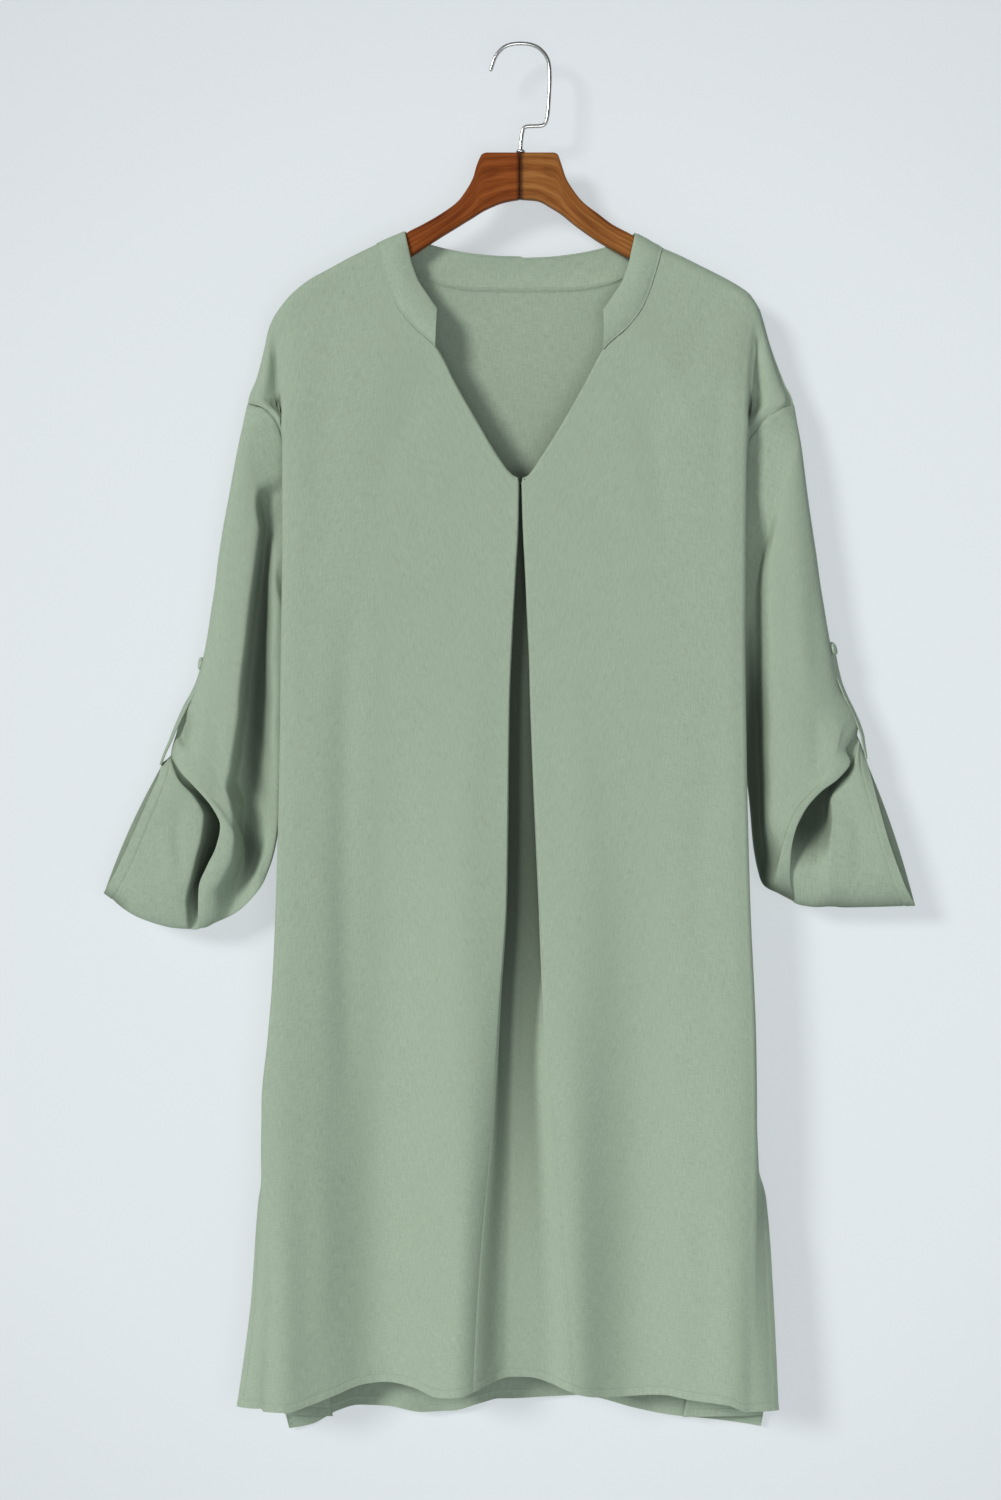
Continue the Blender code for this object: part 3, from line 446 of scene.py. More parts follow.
frontCloth = {
    "wall": 1.0, "sign": -1.0,
    "neck": {
        left: [(0, 370), (6.3, 367.5), (16.8, 354.5), (35, 324.3), (53.7, 291.4), (71.4, 257.7),
               (88.2, 241.7), (103.3, 223.2), (114.3, 196.3), (121, 169)],
        right: [(0, 370), (6.1, 368), (17.1, 352.9), (35.6, 323.4), (54.1, 290.6), (72.7, 256.9),
                (88.7, 242.6), (103.8, 222.4), (113.9, 194.6), (120, 172)]},
    "hem": [(-240, 1151), (-214, 1154), (-194, 1154), (-176, 1149), (-155, 1142), (-134, 1135),
            (-112, 1133), (-90, 1136), (-69, 1142.5), (-50, 1141), (-29, 1134), (-7, 1128.5),
            (9, 1128), (24, 1130.5), (38, 1135.5), (50, 1140), (65, 1143), (84, 1144), (121, 1142),
            (143, 1145), (175, 1148), (190, 1154), (220, 1154)],
    "depths": [(160, 8), (200, 12), (240, 17), (300, 22), (400, 26), (600, 29), (800, 31),
               (1180, 34)],
    # x, half width, down where the soft fold starts, down where it is full, depth
    "folds": [(-120, 41, 430, 1060, 21), (-50, 26, 430, 1120, -7), (-198, 15, 760, 1150, -5),
              (98, 38, 560, 1080, 15), (46, 20, 480, 1120, -5), (176, 18, 700, 1150, -5)],
    # down, fold out, middle out, middle front, edge out, edge front
    "strip": {
        left: [(229.5, 208, 208.2, 0.5, 208.4, 0.2), (240, 206.5, 209.3, 7, 213, 0.8),
               (261, 205, 209, 6, 218, 0.8), (282, 203, 208.5, 5.5, 223.5, 0.8),
               (304, 201.2, 208, 7, 231, 0.8), (309, 201, 206.5, 9.5, 217.5, 8.2),
               (317, 200.6, 204.8, 12.5, 208.7, 7.6), (327, 200.3, 202.3, 14.5, 203.4, 5.5),
               (345, 200, 199.8, 16, 198, 5), (380, 200, 198.5, 17, 192, 6),
               (430, 200, 197, 17.5, 188, 6.5), (480, 200.6, 196, 17, 185, 6),
               (497, 200.8, 196, 16.5, 184.2, 5.5), (506, 201, 196, 15.5, 184, 0.9),
               (600, 202, 197, 16, 178, 0.9), (725, 205, 200, 16, 180, 0.9),
               (792, 208, 203, 16, 184, 0.9), (842, 212, 207, 16, 189, 0.9),
               (897, 217, 212, 17, 196, 0.9), (935, 217, 216, 20, 206, 7),
               (977, 214, 218.5, 25, 220, 15), (1061, 212, 220, 30, 226, 22),
               (1153, 215, 227, 33, 238, 26)],
        right: [(225, 203.5, 203.7, 0.5, 203.9, 0.2), (240, 198.5, 202, 7, 208, 0.8),
                (261, 195.5, 200, 6, 214.5, 0.8), (288, 193, 199, 5.5, 225, 0.8),
                (304, 192, 199, 7, 232, 0.8), (310, 191.6, 198.5, 9, 220, 8.1),
                (316, 191.3, 198, 11, 210, 7.8), (326, 191, 195.5, 13.5, 201, 6),
                (336, 190.6, 192.8, 15, 192.5, 4), (345, 190.3, 191.2, 16, 190, 5),
                (380, 190, 189.3, 17, 185, 6), (430, 189.6, 187.5, 17.5, 181, 6.5),
                (480, 189.2, 186.5, 17, 178, 6), (497, 189, 186, 16.5, 177.2, 5.5),
                (506, 189, 186, 15.5, 177, 0.9), (600, 190, 186, 16, 171, 0.9),
                (725, 193, 189, 16, 174, 0.9), (850, 198, 193, 16, 178, 0.9),
                (901, 198.5, 195, 17, 184, 0.9), (943, 198.5, 200, 21, 196, 9),
                (977, 198, 202, 25, 207, 17), (1061, 196, 203, 29, 213, 23),
                (1153, 194, 206, 32, 217, 27)]},
    "slitTop": {left: 900.0, right: 904.0},
    # beside the fold at the drop shoulder: down, depth in the slot, depth of the swell
    "slot": [(225, 3, 4), (245, 3, 6), (265, 1.5, 7.5), (290, 0.5, 8.2), (320, 0.5, 8.2)],
    # creases: line of x and down, half width, height (minus goes in)
    "creases": [
        ([(-60, 262), (-84, 300), (-112, 352), (-126, 420)], 11, -0.9),
        ([(-92, 236), (-120, 290), (-150, 372)], 14, 0.8),
        ([(-150, 186), (-162, 250), (-168, 352), (-160, 470)], 13, -0.8),
        ([(76, 262), (104, 310), (118, 372), (120, 450)], 12, -1.0),
        ([(98, 236), (132, 288), (152, 350)], 12, 0.8),
        ([(168, 214), (150, 262), (120, 316), (84, 352)], 12, -0.8),
        ([(178, 262), (168, 330), (166, 430)], 8, -0.7),
        ([(-20, 372), (-60, 384), (-110, 380)], 7, -0.35),
        ([(18, 374), (64, 392), (112, 430)], 9, -0.5),
        ([(-140, 440), (-147, 560), (-148, 700), (-146, 860), (-150, 960)], 12, -2.6),
        ([(-30, 470), (-44, 640), (-50, 860)], 14, 0.8),
        ([(40, 520), (60, 700), (70, 900)], 16, 0.9),
        ([(160, 560), (150, 700), (156, 860)], 14, -1.0),
        ([(-176, 900), (-164, 1010), (-170, 1120)], 12, 1.0),
        ([(-72, 930), (-60, 1040), (-66, 1130)], 10, -1.0),
        ([(150, 960), (160, 1060), (150, 1140)], 11, -1.0)],
}

backClothShape = {
    "wall": 1.0, "sign": 1.0,
    "neck": {
        left: [(0, 205.6), (40, 204.8), (63, 201.5), (85, 194), (103, 183), (114, 174.8), (121, 169)],
        right: [(0, 205.6), (45, 205), (70, 201.5), (90, 194.5), (104, 185.8), (114, 177.8),
                (120, 172)]},
    "hem": [(-200, 1182), (-180, 1179), (-158, 1168), (-137, 1161), (-115, 1160), (-82, 1166),
            (-58, 1166), (-34, 1159), (-17, 1154), (45, 1154), (96, 1163), (137, 1169), (208, 1180)],
    "depths": [(150, 9), (180, 12), (230, 16), (300, 18), (400, 20), (600, 23), (800, 26),
               (1200, 31)],
    "folds": [(-104, 38, 420, 1150, 13), (-12, 32, 520, 1150, 11), (66, 26, 380, 1100, -6),
              (128, 34, 600, 1150, 12), (-158, 24, 500, 1100, -6)],
    "strip": {
        left: [(229.5, 208, 208.2, 0.5, 208.4, 0.2), (240, 206.8, 210.5, 5, 213, 0.8),
               (261, 206, 213.5, 6, 218, 0.8), (282, 205, 217, 7, 223.5, 0.8),
               (304, 204, 220, 8, 231, 0.8), (309, 203.5, 213, 10, 219, 4.5),
               (317, 202.5, 208, 12, 210.5, 8.5), (327, 202, 204.3, 15, 205, 11.5),
               (345, 201, 201, 15.8, 199, 12.5), (380, 200, 198.5, 15.8, 192.5, 12),
               (430, 199, 196, 15.5, 188, 11), (480, 199, 195, 14.5, 185, 8.5),
               (497, 199, 195, 13.5, 184.2, 5.2), (506, 199, 195, 13, 184, 0.9),
               (600, 199, 195, 13.5, 178, 0.9), (725, 200, 196, 13.5, 180, 0.9),
               (792, 202, 198, 13.5, 184, 0.9), (842, 205, 202, 13.5, 189, 0.9),
               (897, 208, 206, 14, 196, 0.9), (935, 206, 206, 16, 196, 4),
               (977, 203, 203, 18, 190, 8), (1061, 200, 200, 20, 175, 12),
               (1182, 198, 196, 20, 158, 16)],
        right: [(225, 203.5, 203.7, 0.5, 203.9, 0.2), (240, 199, 203, 5, 208, 0.8),
                (261, 197, 205, 6, 214.5, 0.8), (288, 195, 210, 7, 225, 0.8),
                (304, 194, 213, 8, 232, 0.8), (310, 193.5, 206.5, 10, 221, 4.5),
                (318, 193, 201.5, 12.5, 210, 8.5), (328, 192, 196.8, 14.8, 200, 11.5),
                (345, 191, 191.8, 16, 191, 12.5), (380, 190, 188.8, 15.8, 185, 12),
                (430, 189, 186.5, 15.5, 181, 11.5), (480, 188.5, 185.5, 14.3, 178, 8.5),
                (497, 188, 185, 13.5, 177.2, 5.2), (506, 188, 185, 13, 177, 0.9),
                (600, 187, 183.5, 13.5, 171, 0.9), (725, 189, 186, 13.5, 174, 0.9),
                (850, 194, 190, 13.5, 178, 0.9), (901, 196, 193, 14, 184, 0.9),
                (943, 197, 196, 16, 186, 4), (977, 199, 197, 18, 180, 8),
                (1061, 203, 198, 20, 160, 12), (1182, 207, 196, 21, 137, 17)]},
    "slitTop": {left: 900.0, right: 904.0},
    "slot": [(225, 4, 5), (245, 5, 7), (290, 5, 9), (320, 6, 9)],
    "creases": [
        ([(-60, 212), (-88, 262), (-118, 340), (-130, 430)], 13, -1.0),
        ([(70, 210), (96, 270), (120, 350), (126, 440)], 13, -1.0),
        ([(-176, 214), (-150, 280), (-104, 336)], 12, -0.9),
        ([(172, 216), (146, 286), (98, 346)], 12, -0.9),
        ([(-184, 470), (-160, 600), (-148, 780)], 15, -1.2),
        ([(-30, 330), (-22, 470), (-36, 620)], 16, -1.1),
        ([(170, 500), (152, 660), (158, 830)], 15, -1.2),
        ([(44, 560), (58, 740), (50, 940)], 15, 1.1),
        ([(-72, 700), (-60, 900), (-70, 1100)], 14, 1.2),
        ([(-140, 900), (-150, 1020), (-140, 1120)], 11, -1.1),
        ([(96, 930), (88, 1040), (98, 1130)], 12, -1.2)],
}

pleatShape = {
    # down, left fold out, right fold out
    "edges": [(360, 1.1, 1.1), (408, 1.8, 2.4), (450, 4, 4.5), (484, 5.9, 6), (526, 8, 7.9),
              (556, 9.1, 8.6), (724, 11.6, 16.1), (808, 17.4, 21.1), (934, 26, 31),
              (998, 32, 36), (1066, 37, 41), (1136, 40, 46), (1190, 40.5, 48)],
    "underlay": 93.0,
    # share of the edge's distance out, share of the hidden depth, step, back, top
    "across": [(1, 0, 1.3, 0.4, 370.6), (1, 0, 0, 1.5, 370.6), (1, 0, 1.3, 2.7, 374),
               (1, 0.5, 0, 3.2, 374), (1, 1, -1.2, 4.0, 374), (1, 1, 0, 7.5, 374),
               (1, 1, -1.2, 11.5, 374), (0.5, 0.5, 0, 13.0, 374), (0, 0, 0, 13.5, 374)],
    "leastHidden": 6.0,
    # the same points where the pleat stands open: share of the edge, back
    "open": {left: [(0.99, 0.3), (0.95, 1.4), (0.88, 3.4), (0.80, 6.0), (0.70, 9.6), (0.59, 13.6),
                    (0.47, 17), (0.27, 19.6), (0, 18)],
             right: [(0.99, 0), (0.94, 0.2), (0.87, 0.7), (0.78, 1.9), (0.67, 3.9),
                     (0.54, 6.9), (0.39, 10.7), (0.20, 15), (0, 18)]},
    # down where it starts to open, and over what length
    "opens": {left: (560, 400.0), right: (560, 330.0)},
    # how far the face sinks at the open pleat, from where down, and over what length
    "sink": {left: (6.0, 620, 380.0), right: (1.5, 620, 380.0)},
}

# steps from the lower and the upper edge to the points beside it
hemSteps = np.array([12, 10, 8.8, 8, 7.4, 6.9, 6.4, 5.6, 4.2, 2.4, 1, 0.3, 0])
topSteps = np.array([0, 0.4, 1, 1.8, 2.8, 4, 5.6, 7.6, 10])


def rowPlaces(top, bottom, count=200):
    # Heights of the points down each column, close together at the neck and in the hem.
    shares = np.linspace(0, 1, count)[1:-1]
    start = top + topSteps[-1]
    end = bottom - hemSteps[0]
    return np.concatenate([top + topSteps, start + (end - start) * shares, bottom - hemSteps],
                          axis=1)


def faceDepth(x, down, side, cloth):
    # A quarter circle round the hanger's arm, then the depth table less the soft folds.
    line = curveValue(np.abs(x), shoulder[side])
    below = np.maximum(down - line, 0.0) * overArm["slope"]
    radius = overArm["radius"]
    bend = np.clip(below / radius, 0.0, 1.0)
    wrap = radius * np.sqrt(np.maximum(1 - (1 - bend) ** 2, 0.0))
    depth = wrap + (curveValue(down, cloth["depths"]) - radius) * ease(below / overArm["reach"])
    for place, half, start, full, deep in cloth["folds"]:
        depth = depth - deep * np.exp(-((x - place) / half) ** 2) * ease((down - start) / (full - start))
    return depth


def pleatEdge(side, down):
    # Distance out of the pleat's fold edge.
    return curveValue(down, pleatShape["edges"], 1 if side == left else 2)


def pleatSink(side, down):
    # How far the face rounds down at the pleat where it stands open.
    deep, start, length = pleatShape["sink"][side]
    return deep * ease((down - start) / length)


def stripColumns(cloth, side, shares):
    # Side strip: a parabola from the fold line over a middle point to the seam's edge.
    table = cloth["strip"][side]
    tip = tipDown[side]
    top = tip + (armholeTop - tip) * shares
    foot = float(curveValue(side * curveValue(hemLevel["strip"], table, 4), cloth["hem"]))
    downs = rowPlaces(top, np.full_like(top, foot))
    reach = np.clip((downs - tip) / (armholeTop - tip), shares, 1.0)
    q = shares / reach
    fold, edge = curveValue(downs, table, 1), curveValue(downs, table, 4)
    foldDepth = faceDepth(side * fold, downs, side, cloth) - seamShape["lip"]
    edgeDepth = np.maximum(curveValue(downs, table, 5) - seamShape["inset"], seamShape["least"])
    middle = 2 * curveValue(downs, table, 2) - 0.5 * (fold + edge)
    middleDepth = 2 * curveValue(downs, table, 3) - 0.5 * (foldDepth + edgeDepth)
    a, b, c = (1 - q) ** 2, 2 * q * (1 - q), q * q
    x = a * fold + b * middle + c * edge
    y = a * foldDepth + b * middleDepth + c * edgeDepth
    # above the armhole's turn the strip first sinks beside the fold, then swells to its edge
    low, high = curveValue(downs, cloth["slot"], 1), curveValue(downs, cloth["slot"], 2)
    (start, length), (square, run) = slotShape["swell"], slotShape["square"]
    swell = low + (high - low) * ease((q - start) / length)
    flat = slotShape["round"]
    turn = np.sqrt(np.clip(1 - (np.maximum(q - flat, 0) / (1 - flat)) ** 2, 0, 1))
    swell = swell * (turn + (1 - turn) * ease((downs - square) / run))
    swell = foldDepth + (swell - foldDepth) * ease(q / slotShape["fold"])
    straight = fold + (edge - fold) * q
    end, length = slotShape["end"]
    mix = ease((downs - tip) / slotShape["start"]) * (1 - ease((downs - end) / length))
    meet = ease((q - slotShape["edge"]) / (1 - slotShape["edge"]))
    x = x + (straight - x) * mix
    y = y + (swell + (edgeDepth - swell) * meet - y) * mix
    return np.stack([side * x, cloth["sign"] * y, -downs], axis=-1)


def faceColumns(cloth, side, outs, pleated):
    # Main face: each column keeps its share of the width between the pleat and the fold line.
    table = cloth["strip"][side]
    onNeck = outs < neckOut[side]
    top = np.where(onNeck, curveValue(outs, cloth["neck"][side]), curveValue(outs, shoulder[side]))
    start = pleatEdge(side, top) if pleated else 0.0 * top
    share = (outs - start) / (curveValue(top, table, 1) - start)
    startLow = pleatEdge(side, np.array(hemLevel["face"])) if pleated else 0.0
    foldLow = curveValue(hemLevel["face"], table, 1)
    foot = curveValue(side * (startLow + (foldLow - startLow) * share), cloth["hem"])
    downs = rowPlaces(top, foot)
    fold = curveValue(downs, table, 1)
    start = pleatEdge(side, downs) if pleated else 0.0 * downs
    x = side * (start + (fold - start) * share)
    y = faceDepth(x, downs, side, cloth) - seamShape["lip"] * ease((share - 0.93) / 0.07)
    if pleated:
        y = y - pleatSink(side, downs) * (1 - np.clip(share / 0.10, 0, 1)) ** 2
    return np.stack([x, cloth["sign"] * np.maximum(y, seamShape["flat"]), -downs], axis=-1)


def pleatColumns(side, places):
    # Inverted box pleat, from its fold edge to the centre. Each named point across the pleat
    # is a mix of the folded place and the open one, and the columns are a curve through them.
    table = np.array(pleatShape["across"], dtype=float)
    edgeShare, hiddenShare, step, back, tops = table.T[:, :, None, None]
    number = np.arange(len(table))
    opened = np.array(pleatShape["open"][side], dtype=float)
    openShare, openBack = opened.T[:, :, None, None]
    top = blendRows(places, number, tops[:, 0, 0])[:, None]
    outAtHem = blendRows(places, number, opened[:, 0]) * pleatEdge(side, np.array(hemLevel["face"]))
    foot = curveValue(side * outAtHem, frontCloth["hem"])
    downs = rowPlaces(top, foot[:, None])
    edge = pleatEdge(side, downs)
    hidden = (pleatShape["underlay"] - pleatEdge(left, downs) - pleatEdge(right, downs)) / 2
    hidden = np.maximum(hidden, pleatShape["leastHidden"])
    start, length = pleatShape["opens"][side]
    spread = ease((downs - start) / length)
    closed = edgeShare * edge + hiddenShare * hidden + step
    x = closed * (1 - spread) + edge * openShare * spread
    behind = back * (1 - spread) + openBack * spread
    pick = np.arange(len(places))
    x = blendRows(places, number, x)[pick, pick]
    behind = blendRows(places, number, behind)[pick, pick]
    behind = behind + pleatSink(side, downs) * (1 - places / 8.0)[:, None]
    y = -(faceDepth(side * x, downs, side, frontCloth) - behind)
    return np.stack([side * x, y, -downs], axis=-1)


# where the columns stand: shares across the side strip from the seam's edge, steps from the
# neck's corner inwards, and the last ones beside the pleat or the centre
stripShares = np.array([1, 0.99, 0.975, 0.95, 0.92, 0.885, 0.85, 0.81, 0.76, 0.70, 0.62, 0.53, 0.43,
                        0.33, 0.22, 0.11])[:, None]
cornerSteps = np.array([0, 0.5, 1.2, 2.2, 3.6, 5.4, 8, 11, 14.5, 18.5, 23, 28, 33, 38, 43, 48])
lastOuts = {True: np.array([5.2, 3.6, 2.2, 1.5]), False: np.array([3.5])}


def panelGrid(cloth, pleated):
    # Left half from the seam to the centre, then the right half the other way.
    halves = []
    for side in (left, right):
        tipOut = cloth["strip"][side][0][1]
        outer = np.linspace(tipOut, neckOut[side] + 1.5, 21)
        inner = np.linspace(neckOut[side] - 51, 7, 15)
        outs = np.concatenate([outer, neckOut[side] - cornerSteps, inner, lastOuts[pleated]])[:, None]
        parts = [stripColumns(cloth, side, stripShares), faceColumns(cloth, side, outs, pleated)]
        if pleated:
            # four columns to each named point; the centre's own column belongs to the left half
            parts.append(pleatColumns(side, np.arange(33 if side == left else 32) / 4))
        elif side == left:
            parts.append(faceColumns(cloth, side, np.array([[0.0]]), pleated))
        half = np.concatenate(parts)
        halves.append(half if side == left else half[::-1])
    return np.concatenate(halves)


def wander(s):
    # Uneven wave between about -1 and 1: three sines of unlike lengths.
    return (np.sin(s / 3.1) + 0.8 * np.sin(s / 4.7 + 1.3) + 0.6 * np.sin(s / 8.3 + 0.4)) / 2.0


# hems: width of the doubled strip, then height and reach of its edge, its groove and puckers;
# armhole and reach are how deep the sleeve's first seam is sunk and over what length
hemLook = {"width": 6.7, "fold": (0.30, 1.4), "groove": (0.32, 0.9), "pucker": (0.26, 5.0)}
cuffLook = {"width": 9.0, "fold": (0.3, 1.5), "groove": (0.35, 1.0), "pucker": (0.3, 6.0),
            "armhole": 0.5, "reach": 1.5}
neckEdge = {"turned": 1.3, "reach": 2.8}


def hemHeight(t, s, hem=hemLook):
    # Height of a stitched narrow hem at t from the edge and s along it: a doubled strip that
    # sinks at its row of stitches, and small puckers along it.
    (fold, edge), (groove, wide), (pucker, far) = hem["fold"], hem["groove"], hem["pucker"]
    apart = t - hem["width"]
    waves = pucker * wander(s) * np.exp(-(apart / far) ** 2)
    return fold * ease((0.8 - apart) / edge) - groove * np.exp(-(apart / wide) ** 2) + waves


def finishedPanel(cloth, pleated):
    # Moves the grid along its normals by creases, hems, slits and the turned-in neck edge.
    grid = panelGrid(cloth, pleated)
    facing = surfaceNormals(grid) * cloth["sign"]
    x, down = grid[..., 0], -grid[..., 2]
    amount = creaseField(x, down, cloth["creases"])
    flipped = np.swapaxes(grid, 0, 1)[::-1]
    fromHem = distanceFromStart(flipped)[::-1].T
    along = np.cumsum(np.concatenate([[0], np.linalg.norm(np.diff(grid[:, -1], axis=0), axis=1)]))
    amount = amount + hemHeight(fromHem, along[:, None])
    for side, one in ((left, grid), (right, grid[::-1])):
        far = distanceFromStart(one)
        if side == right:
            far = far[::-1]
        low = ease((down - cloth["slitTop"][side]) / 8.0)
        amount = amount + low * hemHeight(far, down + 40 * side) * (far < 60)
    fromTop = distanceFromStart(np.swapaxes(grid, 0, 1)).T
    atNeck = np.abs(x) < neckOut[left]
    amount = amount - neckEdge["turned"] * (1 - ease(fromTop / neckEdge["reach"])) * atNeck
    grid = grid + facing * amount[..., None]
    return grid, surfaceNormals(grid) * cloth["sign"]


# Painted shade in the cloth's pleat, slots and sleeve hollows, where shade falls.
paintedHollowShade = {
    # depth where the painted shade starts, depth over which it grows full
    "pleat": (3.5, 8.0), "slot": (2.0, 9.0), "sleeve": (4.0, 14.0),
    # the painted shade is lighter in the open pleat: from where down, over what length, how much is
    # taken off
    "openPleat": (660, 420.0, 0.85), "pleatHalf": 60.0,
    # the sleeve's crest beside the body: from and to where down, and its height
    "crest": (335, 500, 14.0), "slotReach": 22.0,
    # the body's face beside the sleeve: down to where, and its height
    "body": (735, 22.0), "sleeveReach": 44.0, "sleevePasses": 14,
    # no painted shade at the sleeve's armhole: over what length; full from where down, over what length
    "sleeveTop": (7.0, 345, 15.0),
}

frontGrid, frontNormals = finishedPanel(frontCloth, True)
backGrid, backNormals = finishedPanel(backClothShape, False)
frontPiece = gridPiece("frontPanel", frontGrid, bodyCloth)


def frontPaintedShade(grid):
    # Painted shade, 0 to 1. In the pleat it follows the depth below the face. Beside the body it
    # follows the depth of the slot between the body's fold and the sleeve's crest, which stands
    # beyond the strip's edge and is added as one more column on each side.
    down, height = -grid[..., 2], -grid[..., 1]
    start, grow = paintedHollowShade["pleat"]
    openFrom, openLength, lighter = paintedHollowShade["openPleat"]
    below = faceDepth(grid[..., 0], down, left, frontCloth) - height
    pleatPaintedShade = ease((below - start) / grow) * (1 - lighter * ease((down - openFrom) / openLength))
    top, bottom, high = paintedHollowShade["crest"]
    crest = np.where((down > top) & (down < bottom), high, noWall)
    heights = np.concatenate([crest[:1], height, crest[-1:]])
    places = np.concatenate([grid[:1], grid, grid[-1:]])
    start, grow = paintedHollowShade["slot"]
    deep = hollowDepth(places, heights, paintedHollowShade["slotReach"])[1:-1]
    slotPaintedShade = ease((deep - start) / grow) * (down < bottom)
    return np.where(np.abs(grid[..., 0]) < paintedHollowShade["pleatHalf"], pleatPaintedShade, slotPaintedShade)


# painted shade in the front's pleat and beside the body, kept on its points
keepPaintedShade(frontPiece, frontPaintedShade(frontGrid))
frontPanel = thicken(frontPiece, frontCloth["wall"])
backPanel = thicken(gridPiece("backPanel", backGrid, backCloth), backClothShape["wall"])


def panelThreads(name, grid, normals, cloth):
    # Stitches at the hem's width from the lower edge and, below the slit's top, from both sides.
    hem = hemLook["width"]
    rows = [insetLine(np.swapaxes(grid, 0, 1)[::-1], np.swapaxes(normals, 0, 1)[::-1], hem)]
    for one, facing in ((grid, normals), (grid[::-1], normals[::-1])):
        line, up = insetLine(one, facing, hem)
        low = -line[:, 2] > cloth["slitTop"][left] + 6
        rows.append((line[low][:-8], up[low][:-8]))
    return threadPiece(name, rows, cloth["wall"] / 2 + 0.12, greenThread)


frontThreads = panelThreads("frontThreads", frontGrid, frontNormals, frontCloth)
backThreads = panelThreads("backThreads", backGrid, backNormals, backClothShape)
for panel, threads, node in ((frontPanel, frontThreads, "front_panel"),
                             (backPanel, backThreads, "back_panel")):
    keepPiece(panel, "cloth", node)
    keepPiece(threads, "cloth")
print("front and back:", len(frontPanel.data.polygons), len(backPanel.data.polygons), "faces")


bandShape = {
    "wall": 1.5, "proud": 0.55, "lean": 2.0, "rightTop": 1.2, "seamRow": 2.2,
    # soft waves; depth and reach of the seam's groove and of the turned upper edge; within
    # this distance of the middle plane all of them fade out
    "wave": 0.22, "groove": (0.28, 0.8), "turned": (0.5, 1.2), "fade": 3.0,
    # shares from the seam to the top edge, and steps along the seam from the shoulder
    "across": [-0.03, -0.018, 0, 0.03, 0.06, 0.1, 0.18, 0.28, 0.4, 0.52, 0.64, 0.76, 0.86, 0.92,
               0.95, 0.98, 1.0],
    "steps": [0.1, 0.5, 1.0, 1.6, 2.4, 3.4, 4.6, 6, 8, 10.5, 13.5, 17, 21, 25, 29, 33, 37, 41,
              45, 47.5, 48.6, 49.2, 49.6],
    # seam out, top out, top down
    "front": [(70, 70, 226.5), (79.5, 74, 220.5), (88.2, 78, 214.5), (96, 82, 208.5),
              (103.3, 85.9, 202.5), (109.6, 89.2, 194.5), (114.3, 92, 186.5),
              (117.8, 94.6, 175), (119.8, 96.6, 165.5), (121.2, 98, 157.9)],
    "back": [(0, 0, 177.8), (18, 18, 177.4), (40, 39, 175.6), (63, 60, 172.2), (85, 77, 167.8),
             (103, 86, 164.6), (114, 91.5, 161.6), (118.6, 95.4, 159.4), (121.2, 98, 157.9)],
}


def bandRows(side, steps, cloth, tops):
    # Straight lines from the seam to the top edge, laid on the same depth as the panel and
    # leaning out by a sine in the middle.
    across = np.array(bandShape["across"])[None, :]
    seams = neckOut[side] - np.asarray(steps)[:, None]
    seamDown = curveValue(seams, cloth["neck"][side])
    place = seams + (neckOut[left] - neckOut[side]) * ease(seams / 60.0)
    topOut = curveValue(place, tops, 1)
    topDown = curveValue(place, tops, 2) + (0.0 if side == left else bandShape["rightTop"])
    x = seams + (topOut - seams) * across
    d = seamDown + (topDown - seamDown) * across
    over = curveValue(x, shoulder[side])
    d = np.maximum(d, over)
    lean = bandShape["lean"] * np.sin(math.pi * np.clip(across, 0, 1))
    y = faceDepth(side * x, d, side, cloth) + lean * np.minimum(1.0, (d - over) / 20.0)
    return np.stack([side * x, cloth["sign"] * np.maximum(y, seamShape["flat"]), -d], axis=-1)


def bandGrid():
    # Left half from the front opening over the shoulder to the back's middle, then the right
    # half the other way.
    rows = []
    steps = bandShape["steps"]
    for side in (left, right):
        backSteps = np.concatenate([steps[:8], np.linspace(8, neckOut[side], 38)])
        half = np.concatenate([bandRows(side, steps[::-1], frontCloth, bandShape["front"]),
                               bandRows(side, backSteps, backClothShape, bandShape["back"])])
        rows.append(half if side == left else half[::-1][1:])
    return np.concatenate(rows)


band = bandGrid()
bandSide = np.where(np.abs(band[..., 1:2]) > 0.5, band[..., 1:2], 1)
bandAway = surfaceNormals(band)
bandAway = bandAway * np.sign(bandAway[..., 1:2] * bandSide)
bandAlong = distanceFromStart(band)
bandUp = distanceFromStart(np.swapaxes(band, 0, 1)).T
# the band stands proud of the panel, with soft waves, a sunk seam and a turned upper edge
bandWave = bandShape["wave"] * wander(bandAlong * 0.8 + bandUp * 0.5)
(deep, wide), (turned, reach) = bandShape["groove"], bandShape["turned"]
bandHeight = (bandShape["proud"] + bandWave
              - deep * np.exp(-((bandUp - bandShape["seamRow"]) / wide) ** 2)
              - turned * (1 - ease((bandUp[:, -1:] - bandUp) / reach)))
bandHeight = bandHeight * np.minimum(1.0, np.abs(band[..., 1]) / bandShape["fade"])
band = band + bandAway * bandHeight[..., None]
neckBand = thicken(gridPiece("neckBand", band, bandCloth), bandShape["wall"])
seamLine, seamUp = insetLine(np.swapaxes(band, 0, 1), np.swapaxes(bandAway, 0, 1),
                             bandShape["seamRow"])
bandThreads = threadPiece("bandThreads", [(seamLine, seamUp), (seamLine, -seamUp)],
                          bandShape["wall"] / 2 + 0.10, greenThread)
keepPiece(neckBand, "cloth", "neck_band")
keepPiece(bandThreads, "cloth")
print("neck band:", len(neckBand.data.polygons), "faces")


# shares of the way across a section, from the outer to the inner edge
eightShares = (0, 0.1, 0.2, 0.4, 0.6, 0.8, 0.9, 1)
tenShares = (0, 0.1, 0.2, 0.4, 0.5, 0.6, 0.7, 0.8, 0.9, 1)
elevenShares = (0, 0.1, 0.2, 0.3, 0.4, 0.5, 0.6, 0.7, 0.8, 0.9, 1)

